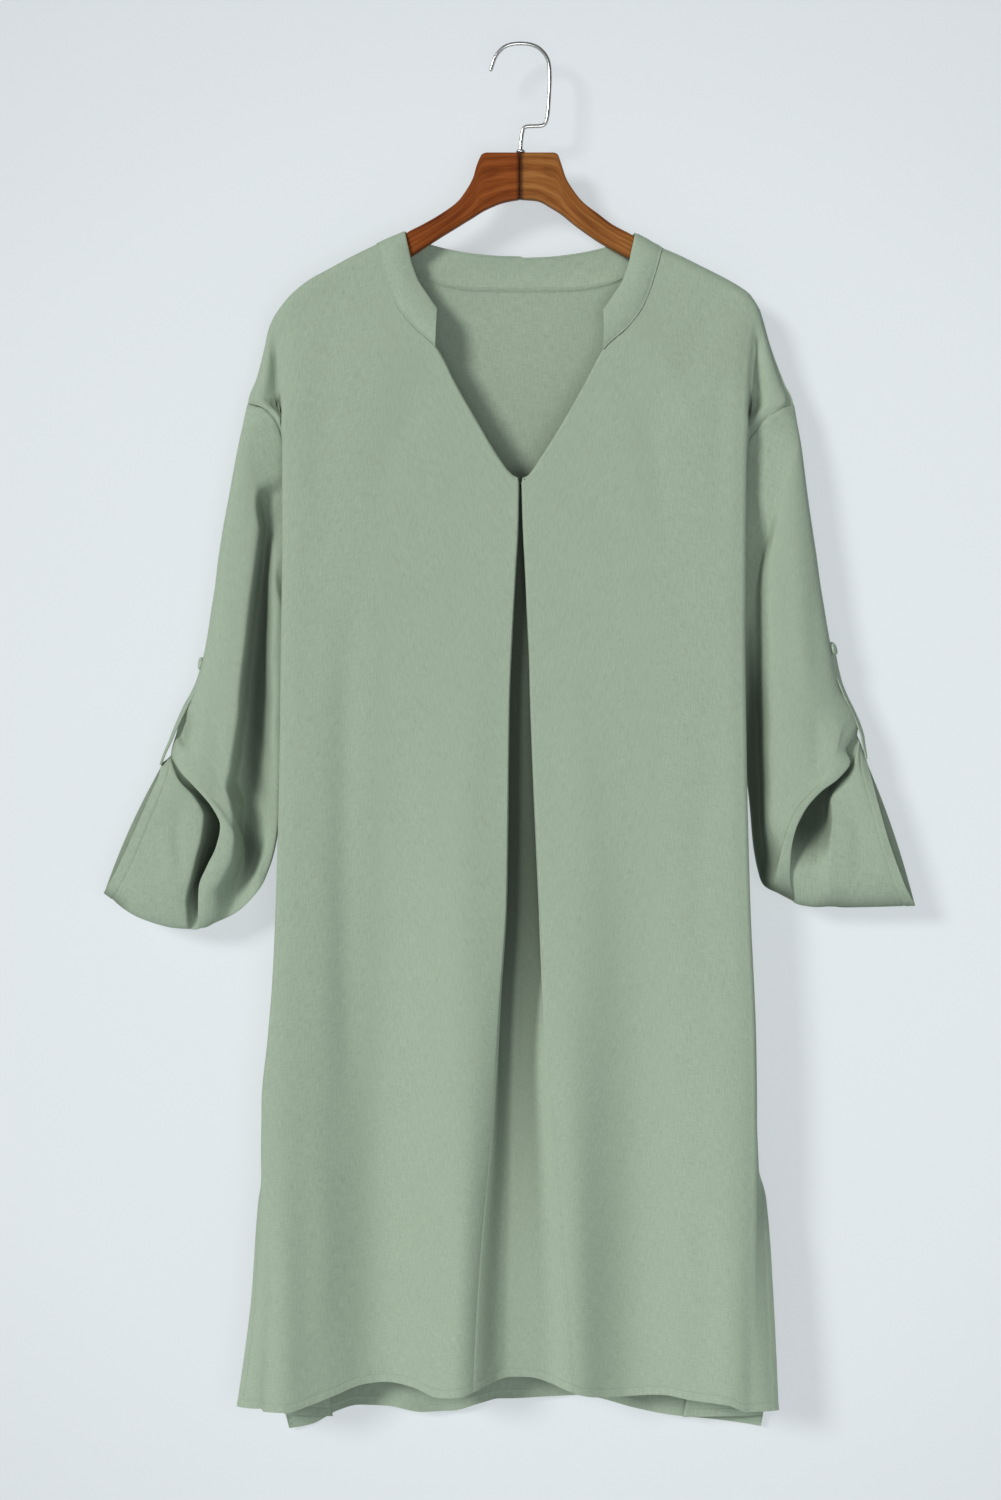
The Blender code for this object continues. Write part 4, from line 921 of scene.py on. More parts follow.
sleeveShape = {
    "wall": 1.0, "frontPoints": 66, "backPoints": 46,
    # the front keeps before this share of the back's depth, by this much, turning over this much
    "limit": (0.7, 0.8, 3.0),
    # powers of the bulge on the lit face and the floor; climb from the floor: least, more, and
    # from which station over how many
    "flat": (0.7, 0.35), "climb": (0.20, 0.16, 2.5, 2.0),
    # the left front lies low beside the strap: up to which station, share left, start, length
    "strap": (6.8, 0.15, 0.02, 0.10),
    # stations of the rows: from, to, number
    "rows": [(0, 0.2, 6), (0.2, 6, 92), (6, 7.2, 26), (7.2, 8, 34), (8, 9.6, 34), (9.6, 9.97, 12)],
    # station, outer out, outer down, inner out, inner down, front, share where the lit face
    # ends, width of its turn, front of the floor, share where it rises again, front there
    "upper": {
        left: [(0.5, 235.2, 323, 187.5, 518, 11, 0.28, 0.07, -7, 0.52, 8),
               (1, 239.3, 342.1, 190, 529.1, 14, 0.38, 0.07, -9, 0.54, 12),
               (2, 249.5, 399.1, 193, 560.6, 19, 0.40, 0.06, -12, 0.62, 13.5),
               (3, 259.7, 462.8, 197, 597.1, 21, 0.42, 0.06, -13, 0.72, 12.5),
               (4, 268.2, 517.6, 202, 637.1, 22, 0.455, 0.06, -13, 0.80, 11),
               (5, 278.6, 555.5, 208, 679.6, 22, 0.48, 0.06, -13, 0.88, 8)],
        right: [(0.5, 235.2, 321.8, 184, 518, 10.5, 0.34, 0.22, -3, 1.2, 0),
                (1, 238.4, 339.6, 184, 529.1, 14, 0.50, 0.22, -4, 1.2, 0),
                (2, 244.4, 386.3, 186.5, 560.6, 18, 0.577, 0.20, -7, 1.2, 0),
                (3, 254.6, 454.3, 190, 598.8, 20, 0.675, 0.16, -8, 1.2, 0),
                (4, 262.6, 505.3, 195, 641.3, 21, 0.763, 0.12, -8, 1.2, 0),
                (5, 271.0, 545, 199, 683.8, 21, 0.825, 0.10, -8, 1.2, 0)]},
    # station, then across the sleeve: shares, out, down, front
    "lower": {
        left: [
            (6, (0, 0.1, 0.2, 0.4, 0.55, 0.61, 0.66, 0.72, 0.85, 0.94, 1),
             (288.5, 277.8, 269.7, 255.2, 245, 241.6, 239.4, 235.7, 226.1, 221.1, 218),
             (572, 583.6, 596.3, 621.6, 642.6, 653.5, 662, 672.2, 692.1, 703.1, 710.1),
             (0, 14, 19, 21, 22, 20, 0, -12, -11, 3, 0)),
            (6.5, (0, 0.1, 0.2, 0.4, 0.52, 0.6, 0.65, 0.72, 0.85, 0.94, 1),
             (291.2, 280.4, 271.4, 254.3, 244.1, 240.2, 237.4, 235, 237, 238.7, 240.1),
             (583.5, 593.7, 606.4, 631.7, 649.3, 662.2, 671.3, 684.6, 706.6, 721.8, 735.6),
             (0, 14, 19.5, 22, 23, 20, 0, -12, -10, -4, 0)),
            (7, tenShares,
             (294, 283.7, 274.6, 257.5, 247.3, 240.9, 243.2, 251.1, 259.6, 260.5),
             (592.5, 601.3, 614.8, 640.9, 655.2, 672, 689.8, 705.1, 722.2, 745.8),
             (0, 15, 20.5, 23.5, 25, 25, 23, 20, 15, 1)),
            (7.2, tenShares,
             (295.4, 288.4, 280.7, 263.4, 252.2, 245.9, 249.4, 258.1, 266.2, 267.3),
             (597.8, 605.6, 616.5, 637.5, 651.8, 667.8, 685.5, 702.5, 721.3, 749.2),
             (0, 14, 19.5, 24, 26, 26.5, 25, 21.5, 16.5, 1)),
            (7.4, tenShares,
             (295.8, 291.7, 285.6, 269.4, 258.7, 252.1, 255.8, 264.1, 271.3, 272.8),
             (601.3, 609, 617.8, 634.6, 647.6, 662.8, 680.5, 697.5, 716.2, 750),
             (0.5, 11, 17, 22.5, 24.5, 25, 24, 20.5, 15.5, 1)),
            (7.55, tenShares,
             (295.9, 290.9, 284, 267.1, 256, 249.5, 252.5, 260.6, 268.3, 272.9),
             (602.5, 608.7, 617, 633.7, 647.4, 664.6, 681, 697.7, 716.5, 750.3),
             (0, 7, 9.5, 12, 12, 12, 11, 9, 9, 0.8)),
            (7.7, tenShares,
             (296.3, 291.9, 285.5, 269.3, 258.9, 254.3, 258.1, 266.5, 273.4, 276.3),
             (603.5, 611, 620, 637.1, 650.8, 666.6, 682.4, 698.7, 717.4, 750.9),
             (0, 3, 3, -5, -8, -9, -9, -7, -3, 0.6)),
            (7.88, tenShares,
             (297, 293.3, 288.6, 272.8, 264.2, 265.8, 269.8, 274.9, 279.9, 279.6),
             (604.6, 613, 622.9, 640.6, 654.6, 671.3, 687.3, 704.9, 724.4, 750.6),
             (0, 3.5, 4.5, -2, -7, -7, -7, -5, -2, 0.6)),
            (8, tenShares,
             (297.5, 294.1, 289.9, 275, 267.9, 269.8, 273.8, 278.5, 283.1, 282.6),
             (605.2, 613.6, 623.3, 640.2, 655.4, 672.3, 688.3, 706.9, 728.2, 750.5),
             (0, 8, 12, 12.5, 14, 15.5, 16.5, 16, 12, 0.6)),
            (8.4, tenShares,
             (298.4, 295.7, 292.8, 281.3, 276.1, 278.1, 282.2, 286.9, 291.5, 294.5),
             (606.4, 615.3, 625.9, 644.5, 658, 674.8, 691.7, 709.4, 729.1, 749.6),
             (0, 9, 12.5, 13.5, 14.8, 16, 16.8, 16.5, 12.5, 0.6)),
            (9, tenShares,
             (300.5, 299.7, 299.6, 298.5, 299.7, 303, 307.7, 313.3, 319.6, 325.9),
             (608.1, 618.3, 629.3, 651.2, 664.7, 679.9, 695.1, 711.2, 726.6, 739.9),
             (0, 9, 12, 14, 15, 15.5, 15.5, 14.5, 11, 0.5)),
            (10, tenShares,
             (303.9, 306.1, 310.8, 319.8, 324.8, 329.9, 335, 340.6, 346.8, 353.4),
             (610.3, 621.7, 632.2, 653, 664.5, 676, 687, 698.3, 709.4, 720),
             (0, 7, 10, 13, 13.5, 13.5, 13, 11.5, 8, 0))],
        right: [
            (6, eightShares,
             (283.5, 274.2, 268.6, 255.7, 240.5, 223.8, 215.1, 206.9),
             (565, 577.7, 590.4, 618.2, 647.7, 680.6, 698.6, 712.7),
             (0, 14, 19, 21, 22, 20, 8, 0)),
            (7, elevenShares,
             (287, 275.9, 269, 267.5, 258.9, 246.2, 233.5, 225.5, 220.7, 217.8, 221.4),
             (577.5, 586.1, 598, 610.6, 623.2, 634.2, 649.3, 666.2, 683.9, 703.6, 721.2),
             (0, 14, 19, 21, 22.5, 24, 24.5, 24, 21.5, 16, 0)),
            (7.4, elevenShares,
             (285.9, 279.8, 275.1, 278.5, 268.9, 252.6, 239.8, 231.9, 228.3, 227.5, 232.4),
             (586.1, 591.2, 598.8, 608.9, 622, 634.2, 648.9, 665.3, 683.1, 702.7, 727.1),
             (0.5, 10, 14, 17, 20.5, 23, 24, 23.5, 21, 16, 0.8)),
            (7.55, elevenShares,
             (286.1, 280.3, 275.8, 277.4, 267, 250.7, 237.7, 230, 227.1, 227.4, 232.8),
             (586.8, 591.9, 598.6, 608.1, 621.2, 633.4, 648.3, 665.3, 683.2, 703.3, 727.6),
             (0, 6, 9, 10, 12, 14, 14, 14, 15, 13, 0.6)),
            (7.7, elevenShares,
             (286.6, 281.5, 277.6, 279.1, 269, 253.2, 240.7, 233.4, 231, 231, 236.6),
             (588, 593.5, 600.2, 611.1, 624.2, 636.9, 651.3, 667.3, 684.4, 704, 729.6),
             (0, 3, 4, 0, -6, -8, -8, -3, 6, 11.5, 0.6)),
            (7.88, elevenShares,
             (287.5, 284.8, 282.4, 278.4, 268.2, 260.8, 260, 256.4, 251.8, 250.2, 252.4),
             (590.1, 597, 606.2, 616.6, 627, 640.9, 657, 671.6, 688, 706.4, 731.9),
             (0, 4, 5, 1, -5, -7, -7, -2, 8, 12, 0.6)),
            (8, elevenShares,
             (288.1, 285.9, 283.9, 279.5, 270.2, 263.6, 264.4, 263, 261.3, 260.8, 263),
             (591.1, 598.8, 609, 619.1, 629.3, 641.9, 658, 673.1, 689.2, 707.9, 731.4),
             (0, 8, 11, 12, 12, 13.2, 15.2, 16.2, 16, 13.5, 0.5)),
            (8.4, elevenShares,
             (288.8, 287.1, 285.9, 282.9, 276.9, 272.5, 273.2, 273.2, 272.8, 272.7, 275.7),
             (593.7, 603, 613.2, 623.3, 634.3, 646.1, 661.3, 675.7, 691.7, 709.6, 732.2),
             (0, 8.5, 11.5, 12.5, 13, 14, 15.5, 16, 15.5, 12.5, 0.5)),
            (9, eightShares,
             (289.8, 289.2, 288.9, 289, 291.9, 295.8, 297.5, 300.4),
             (597.1, 608.1, 619.1, 641.1, 668.1, 696, 712.2, 731.8),
             (0, 8.5, 11.5, 13.8, 15, 13.5, 10.5, 0.5)),
            (10, eightShares,
             (291.5, 294.6, 297.6, 304.4, 311.9, 321.5, 327.4, 335.7),
             (600.9, 612.4, 624.2, 650.4, 676.6, 702.5, 716.2, 730.5),
             (0, 6.5, 9.5, 13, 13.5, 11.5, 8, 0))]},
    # station, back depth, bend of the back towards the body
    "back": [(0, 10, 0), (1, 12, 0), (2, 15, 0), (3, 16, 0), (4, 16, 0), (5, 16, 2), (6, 17, 5),
             (7, 17, 8), (7.5, 16, 8), (8, 14.5, 6), (9, 12, 0.3), (10, 11, -4.2)],
    "creases": {
        left: [([(-262, 430), (-258, 480), (-262, 540)], 6, -0.8),
               ([(-246, 380), (-250, 450), (-254, 520)], 7, 0.7),
               ([(-262, 560), (-256, 590), (-250, 620)], 5, -0.7),
               ([(-300, 655), (-296, 690), (-300, 720)], 7, 0.9),
               ([(-288, 640), (-290, 680), (-284, 715)], 5, -0.8)],
        right: [([(252, 430), (250, 500), (256, 560)], 7, -0.8),
                ([(232, 400), (236, 480), (240, 560)], 8, 0.8),
                ([(246, 560), (252, 600), (246, 630)], 6, -0.8),
                ([(300, 650), (306, 690), (312, 715)], 7, 0.8),
                ([(282, 640), (286, 680), (284, 720)], 6, -0.7)]},
}


def armholeRow(side, q, front):
    # The panel's armhole edge, moved a little off it where it shows and under it where it hides.
    cloth = frontCloth if front else backClothShape
    table = cloth["strip"][side]
    down = armholeTop + (armholeLow - armholeTop) * q
    (end, length), (start, rest) = armholeSeam["seen"], armholeSeam["low"]
    seen, low = 1 - ease((down - end) / length), ease((q - start) / rest)
    outs, ins, downs = armholeSeam["out"], armholeSeam["in"], armholeSeam["down"]
    out = curveValue(down, table, 4) + outs[0] * seen + outs[1] * low
    y = np.maximum(curveValue(down, table, 5) - ins[0] * (1 - seen) - ins[1] * low, 0.0)
    y = np.where((q <= 0) | (q >= 1), 0.0, y)
    down = down + downs[0] * seen + downs[1] * low
    return np.stack([side * out, cloth["sign"] * y, -down], axis=-1)


def acrossShares(count):
    # Shares from 0 to 1, close together at both ends: half of one less a cosine.
    return (1 - np.cos(np.pi * np.linspace(0, 1, count))) / 2


def upperFront(side, q, row):
    # Straight across in out and down. The lit face, a flattened bulge, turns down to a floor
    # at one share of the way and rises again at another.
    station, outerX, outerD, innerX, innerD, front, place, width, low, rise, high = row
    bulge = 2 * np.sqrt(q * (1 - q))
    facePower, floorPower = sleeveShape["flat"]
    least, more, start, length = sleeveShape["climb"]
    face = front * bulge ** facePower
    climb = least + more * ease((station - start) / length)
    floor = (low + (high - low) * ease((q - rise + climb / 2) / climb)) * bulge ** floorPower
    y = face + (floor - face) * ease((q - place) / width)
    return outerX + (innerX - outerX) * q, outerD + (innerD - outerD) * q, y


def lowerFront(side, q, row):
    # Curves through the table's points; the depth is shared out over the bulge 2 sqrt(q (1 - q)).
    share, out, down, front = np.array(row[1:], dtype=float)
    ratio = front / (2 * np.sqrt(np.clip(share * (1 - share), 1e-6, 1)))
    ratio[0], ratio[-1] = ratio[1], ratio[-2]
    y = blendRows(q, share, ratio) * 2 * np.sqrt(q * (1 - q))
    last, least, start, length = sleeveShape["strap"]
    if side == left and row[0] < last:
        y = y * (least + (1 - least) * ease((q - start) / length))
    return blendRows(q, share, out), blendRows(q, share, down), y


def sleeveGrid(side):
    # Sections from the armhole to the cuff: the front follows the tables, the back is a flatter
    # bulge between the same two ends, and a cubic joins sections.
    shape = sleeveShape
    q, qBack = acrossShares(shape["frontPoints"]), acrossShares(shape["backPoints"])
    bulge, bulgeBack = 2 * np.sqrt(q * (1 - q)), 2 * np.sqrt(qBack * (1 - qBack))
    hump = 4 * qBack * (1 - qBack)
    stations, fronts, backs = [0.0], [armholeRow(side, q, True)], [armholeRow(side, qBack, False)]
    rows = [(row, upperFront) for row in shape["upper"][side]]
    rows += [(row, lowerFront) for row in shape["lower"][side]]
    for row, section in rows:
        station = row[0]
        x, d, y = section(side, q, row)
        depth, bend = (float(curveValue(station, shape["back"], column)) for column in (1, 2))
        xBack = x[0] + (x[-1] - x[0]) * qBack - bend * hump
        dBack = d[0] + (d[-1] - d[0]) * qBack
        yBack = depth * bulgeBack ** (0.8 + 0.8 * ease((qBack - 0.45) / 0.4))
        stations.append(station)
        fronts.append(np.stack([side * x, -y, -d], axis=-1))
        backs.append(np.stack([side * xBack, yBack, -dBack], axis=-1))
    at = np.concatenate([np.linspace(*span)[:-1] for span in shape["rows"]] + [[9.97, 9.99, 10]])
    front = blendRows(at, stations, np.array(fronts))
    back = blendRows(at, stations, np.array(backs))
    # the front keeps before the back: a soft minimum of its depth and a share of the back's
    share, gap, turn = shape["limit"]
    limit = share * np.array([np.interp(q, qBack, row) for row in back[..., 1]]) - gap * bulge
    over = front[..., 1] - limit
    front[..., 1] = (front[..., 1] + limit - np.sqrt(over ** 2 + (turn * bulge) ** 2)) / 2
    front[:, [0, -1]] = back[:, [0, -1]]
    return np.concatenate([front, back[:, ::-1][:, 1:-1]], axis=1)


def sleevePaintedShade(grid, down, fromTop):
    # Painted shade, following the hollows of the front half. The body's face stands beyond the
    # inner edge of the upper sleeve and is added as one more column.
    last = sleeveShape["frontPoints"]
    low, high = paintedHollowShade["body"]
    start, grow = paintedHollowShade["sleeve"]
    front = np.concatenate([grid[:, :last], grid[:, last - 1:last]], axis=1)
    height = -front[..., 1]
    height[:, -1] = np.where(front[:, -1, 2] > -low, high, noWall)
    paintedShade = np.zeros(grid.shape[:2])
    deep = hollowDepth(front, height, paintedHollowShade["sleeveReach"])[:, :last]
    paintedShade[:, :last] = ease((deep - start) / grow)
    begin, low, length = paintedHollowShade["sleeveTop"]
    return paintedShade * np.maximum(ease(fromTop / begin), ease((down - low) / length))


def makeSleeve(side, name):
    # Moves the grid along its normals by creases, the cuff's hem and the sunk armhole seam.
    word = sideWord[side]
    grid = sleeveGrid(side)
    facing = surfaceNormals(grid, closed=True) * (-side)
    fromCuff = distanceFromStart(grid[::-1])[::-1]
    fromTop = distanceFromStart(grid)
    around = distanceFromStart(np.swapaxes(grid, 0, 1)).T
    down = -grid[..., 2]
    amount = creaseField(grid[..., 0], down, sleeveShape["creases"][side])
    amount = amount + hemHeight(fromCuff, around, cuffLook)
    amount = amount - cuffLook["armhole"] * (1 - ease(fromTop / cuffLook["reach"]))
    grid = grid + facing * amount[..., None]
    # painted shade in the sleeve's hollows, kept on its points below
    shade = sleevePaintedShade(grid, down, fromTop)
    facing = surfaceNormals(grid, closed=True) * (-side)
    sleeve = gridPiece("sleeve" + word, grid, sleeveCloth, closed=True, flip=side > 0)
    keepPaintedShade(sleeve, shade, paintedHollowShade["sleevePasses"])
    thicken(sleeve, sleeveShape["wall"])
    threads = threadPiece("sleeve" + word + "Threads",
                          [insetLine(grid[::-1], facing[::-1], cuffLook["width"])],
                          sleeveShape["wall"] / 2 + 0.1, greenThread)
    keepPiece(sleeve, "cloth", name)
    keepPiece(threads, "cloth")
    print("sleeve:", word, len(sleeve.data.polygons), "faces")
    return sleeve, threads


sleeveLeft, leftThreads = makeSleeve(left, "sleeve_left")
sleeveRight, rightThreads = makeSleeve(right, "sleeve_right")


tabShape = {
    "width": 14.0, "wall": 1.3, "stitchRow": 1.6, "wave": 0.12, "groove": (0.28, 0.6),
    "across": [-1, -0.97, -0.9, -0.8, -0.7, -0.5, -0.25, 0, 0.25, 0.5, 0.7, 0.8, 0.9, 0.97, 1],
    # out, down, lean of the front edge towards the body
    left: [(270.9, 520, 4), (272.4, 530, 4), (275.6, 540.5, 4), (281, 552, 4.5), (287.4, 563.5, 4.5),
           (292, 574, 4), (296, 583.5, 3.5), (300, 594, 3), (304.4, 604, 2.5), (306.6, 611.5, 2)],
    right: [(266.5, 507, 6), (269.0, 519, 7), (271.5, 531, 6), (275, 544, 4), (280.5, 556.5, 4),
            (285.6, 567, 4), (290.2, 578, 4), (293, 588, 3.5), (294.5, 598, 3), (295.6, 606.5, 2)],
}
buttonShape = {
    "radius": 5.3, "thick": 2.4, "holes": 1.45, "holeRadius": 0.62, "holeDepth": 1.1,
    "place": 0.55,                  # share of the first part of the tab's path
    "out": {left: 0.0, right: -3.0},
    # share of the radius, share of the thickness
    "profile": [(0.001, 0.0), (0.55, 0.0), (0.9, 0.12), (1.0, 0.5), (0.985, 0.78), (0.93, 0.97),
                (0.86, 1.0), (0.79, 0.94), (0.72, 0.80), (0.6, 0.76), (0.5, 0.755), (0.4, 0.75),
                (0.3, 0.75), (0.2, 0.75), (0.1, 0.75), (0.001, 0.75)],
    "colour": (0.30, 0.385, 0.285),
}


def makeTab(side, name):
    # A narrow strip carried along its path; its front edge leans towards the body.
    word = sideWord[side]
    path = np.array(tabShape[side], dtype=float)
    along = np.concatenate([[0], np.cumsum(np.hypot(np.diff(path[:, 0]), np.diff(path[:, 1])))])
    at = np.linspace(0, along[-1], 60)
    out, down, lean = (blendRows(at, along, path[:, c]) for c in range(3))
    half = tabShape["width"] / 2
    across = half * np.array(tabShape["across"])
    share = (1 - across / half) / 2
    x = side * (out[:, None] - lean[:, None] * share)
    y = np.broadcast_to(across[None, :], x.shape)
    z = -(down[:, None] + 0.0 * x)
    grid = np.stack([x, y, z], axis=-1)
    facing = surfaceNormals(grid)
    facing = facing * np.sign(facing[..., 0:1] * side)
    edge = half - np.abs(across)[None, :]
    inset, (deep, wide) = tabShape["stitchRow"], tabShape["groove"]
    amount = tabShape["wave"] * wander(at[:, None] * 1.4 + 5)
    amount = amount - deep * np.exp(-((edge - inset) / wide) ** 2)
    grid = grid + facing * amount[..., None]
    tab = thicken(gridPiece("tab" + word, grid, sleeveCloth, flip=side < 0), tabShape["wall"])
    turned, turnedFacing = np.swapaxes(grid, 0, 1), np.swapaxes(facing, 0, 1)
    rows = [insetLine(turned, turnedFacing, inset), insetLine(turned[::-1], turnedFacing[::-1], inset)]
    threads = threadPiece("tab" + word + "Threads", rows, tabShape["wall"] / 2 + 0.1, greenThread)
    keepPiece(tab, "cloth", name)
    keepPiece(threads, "cloth")
    return tab, threads


def buttonMaterial():
    # Noise between a darker and a lighter shade of the button's colour.
    base = np.array(buttonShape["colour"])
    look, tree, shader = speckledLook("Green button", (base * 0.82, base * 1.12), 420.0,
                                      stretch=(1.0, 1.0, 2.5))
    setSockets(shader, Roughness=0.34, Coat_Weight=0.25)
    return look


def makeButton(side, name, look):
    # Turned profile with a raised rim; four pits are bells of the distance to their centres.
    shape = buttonShape
    path = np.array(tabShape[side], dtype=float)
    lean = math.atan2(path[1, 0] - path[0, 0], path[1, 1] - path[0, 1])
    middle = path[0, :2] + (path[1, :2] - path[0, :2]) * shape["place"]
    middle[0] -= path[0, 2] / 2
    tilt = math.atan2(path[0, 2], tabShape["width"])
    lift = tabShape["wall"] / 2 + 0.2
    profile = np.array(shape["profile"])
    turn = np.linspace(0, 2 * np.pi, 72, endpoint=False)
    radius = profile[:, 0:1] * shape["radius"]
    a, b = radius * np.cos(turn), radius * np.sin(turn)
    height = profile[:, 1:2] * shape["thick"] + 0.0 * a
    for s, t in ((1, 1), (1, -1), (-1, 1), (-1, -1)):
        far = np.hypot(a - s * shape["holes"], b - t * shape["holes"]) / shape["holeRadius"]
        height = height - shape["holeDepth"] * np.exp(-far ** 4) * (profile[:, 1:2] > 0.7)
    away = np.array([math.cos(lean) * math.cos(tilt), -math.sin(tilt), math.sin(lean) * math.cos(tilt)])
    down = np.array([math.sin(lean), 0.0, -math.cos(lean)])
    centre = np.array([middle[0], shape["out"][side], -middle[1]])
    point = centre + (lift + height)[..., None] * away + b[..., None] * down
    point = point + a[..., None] * np.array([math.sin(tilt), math.cos(tilt), 0.0])
    point = point * np.array([side, 1.0, 1.0])
    faces = squareFaces(*a.shape, True)[0]
    button = meshPiece("button" + sideWord[side], point.reshape(-1, 3),
                       faces[:, ::-1] if side > 0 else faces, look)
    keepPiece(button, "button", name)


greenButton = buttonMaterial()
tabs = {side: makeTab(side, name) for side, name in ((left, "tab_left"), (right, "tab_right"))}
makeButton(left, "button_left", greenButton)
makeButton(right, "button_right", greenButton)
print("tabs and buttons made")


hangerShape = {
    "half": 5.8, "corner": 4.6,     # half thickness, how square the section is
    # depth and width of the groove between the arms; how far the upper edge is lower inside the
    # shoulder, from where out and over what length; length of the end with closer sections
    "groove": (0.35, 0.7), "lower": (1.6, 92, 12), "end": 8.0,
    # share of the thickness where the arm has no height, and the height that adds a whole one
    "thin": (0.45, 26.0),
    # out, upper edge down, lower edge down
    left: [(0.15, 91.4, 130.9), (14, 91.4, 133.6), (28, 91.4, 139.2), (32, 92.6, 141.3),
           (36.4, 101, 144), (40, 113, 146.4), (46, 123.8, 150), (53, 133, 154.4),
           (65.5, 142.4, 162), (80.7, 151.4, 171.8), (95.6, 158.9, 181.4), (121, 171.5, 194.5),
           (144, 182.8, 205.5), (161, 192.1, 213.5), (178, 201.7, 219), (188, 209.3, 220.6),
           (193.5, 214, 220.3), (196.5, 217, 219.4)],
    right: [(0.15, 91.4, 130.9), (14, 91.4, 132), (28, 91.4, 139), (31.6, 92.6, 141.2),
            (35, 101, 143.5), (39, 113, 146.6), (45.5, 123.7, 152), (53, 133, 157.6),
            (66.7, 143.7, 167), (78.6, 152.6, 173.8), (93.9, 160.6, 182), (121, 174.9, 195.5),
            (136, 181.8, 202.5), (153, 190.2, 210), (170, 198.8, 217), (184, 206.8, 220.6),
            (190.5, 212, 220.4), (194.5, 216, 219.4)],
}
woodLook = {
    # the two arms are one wood in two copies: the left arm's darker tones are painted shade
    left: {"dark": (0.085, 0.018, 0.004), "middle": (0.180, 0.045, 0.009),
           "light": (0.27, 0.080, 0.018)},
    right: {"dark": (0.11, 0.032, 0.008), "middle": (0.230, 0.083, 0.020),
            "light": (0.34, 0.15, 0.045)},
    "streaks": (0.55, 0.30, 0.15),  # weights of grain, figure and pores
    "joint": [(0.0004, (0.08, 0.06, 0.05)), (0.0010, (1.0, 1.0, 1.0))],
}


def woodMaterial(side):
    # Grain is stretched noise along the arm's own UV length, with finer dark pores over it.
    look, tree, shader = newLook("Brown wood " + sideWord[side].lower())
    uv = placeFrom(tree, "UV")
    grain = noiseNode(tree, uv, 1.0, 5.0, 0.6, (9.0, 260.0, 1.0))
    figure = noiseNode(tree, uv, 1.0, 3.0, 0.5, (16.0, 60.0, 1.0))
    pores = noiseNode(tree, uv, 1.0, 3.0, 0.6, (60.0, 1500.0, 1.0))
    mixed = weightedSum(tree, *zip((grain, figure, pores), woodLook["streaks"]))
    # painted shade: the left arm takes darker tones than the right
    tones = woodLook[side]
    colour = rampNode(tree, mixed, [(0.39, tones["dark"]), (0.50, tones["middle"]),
                                    (0.61, tones["light"])])
    # the joint between the two arms is dark
    place = addNode(tree, "ShaderNodeSeparateXYZ")
    tree.links.new(placeFrom(tree, "Object"), place.inputs[0])
    near = mathNode(tree, "ABSOLUTE", place.outputs["X"])
    productColour(tree, colour, rampNode(tree, near, woodLook["joint"]), shader)
    setSockets(shader, Roughness=0.46, Specular_IOR_Level=0.05)
    bumpNode(tree, mixed, 0.25, 0.0003, shader)
    return look


def facesOutwards(piece, sharp, joined=False):
    # Joins doubled points where asked, closes open ends, turns the faces outwards and keeps
    # edges sharper than the angle, in degrees, as edges.
    work = bmesh.new()
    work.from_mesh(piece.data)
    if joined:
        bmesh.ops.remove_doubles(work, verts=work.verts, dist=1e-6)
    bmesh.ops.holes_fill(work, edges=[e for e in work.edges if e.is_boundary], sides=0)
    bmesh.ops.recalc_face_normals(work, faces=work.faces)
    work.to_mesh(piece.data)
    work.free()
    piece.data.shade_smooth()
    piece.data.set_sharp_from_angle(angle=math.radians(sharp))


def makeHanger(side, node):
    # Each section is a rounded square: cosine and sine raised to the power two over the corner
    # number, between the upper and lower edge, and thinner where the arm is low.
    table = hangerShape[side]
    last, end = table[-1][0], hangerShape["end"]
    outs = np.unique(np.concatenate([
        [0.04, 0.2, 0.4, 0.6, 0.9, 1.4], np.linspace(2, 27, 12), np.linspace(27, 60, 44),
        np.linspace(60, last - end, 60), last - end * (1 - np.linspace(0, 1, 16) ** 0.6)]))
    # a fine groove where the two arms meet
    deep, wide = hangerShape["groove"]
    groove = deep * (1 - ease(outs / wide))
    drop, start, length = hangerShape["lower"]
    upper = curveValue(outs, table, 1) + drop * ease((outs - start) / length) + groove
    lower = curveValue(outs, table, 2) - groove
    least, full = hangerShape["thin"]
    half = hangerShape["half"] * np.minimum(1.0, least + (lower - upper) / full) - groove
    turn = np.linspace(0, 2 * np.pi, 40, endpoint=False) + np.pi / 40
    power = 2 / hangerShape["corner"]
    c = np.sign(np.cos(turn)) * np.abs(np.cos(turn)) ** power
    s = np.sign(np.sin(turn)) * np.abs(np.sin(turn)) ** power
    y = half[:, None] * c
    # the corners keep the same radius however tall the section is
    tall = (lower - upper)[:, None] / 2
    rise = tall - np.minimum(tall, half[:, None]) * (1 - np.abs(s))
    z = (upper + lower)[:, None] / 2 - np.sign(s) * rise
    x = side * outs[:, None] + 0.0 * y
    hanger = gridPiece("hanger" + sideWord[side], np.stack([x, y, -z], axis=-1), woodMaterial(side),
                       closed=True, flip=side > 0)
    # the grain's first direction runs along the arm
    layer = hanger.data.uv_layers[0].data
    corners = np.zeros(len(layer) * 2, dtype=np.float32)
    layer.foreach_get("uv", corners)
    layer.foreach_set("uv", np.ascontiguousarray(corners.reshape(-1, 2)[:, ::-1]).ravel())
    facesOutwards(hanger, 50)
    keepPiece(hanger, "wood", node)


makeHanger(left, "hanger_left")
makeHanger(right, "hanger_right")
print("hanger made")


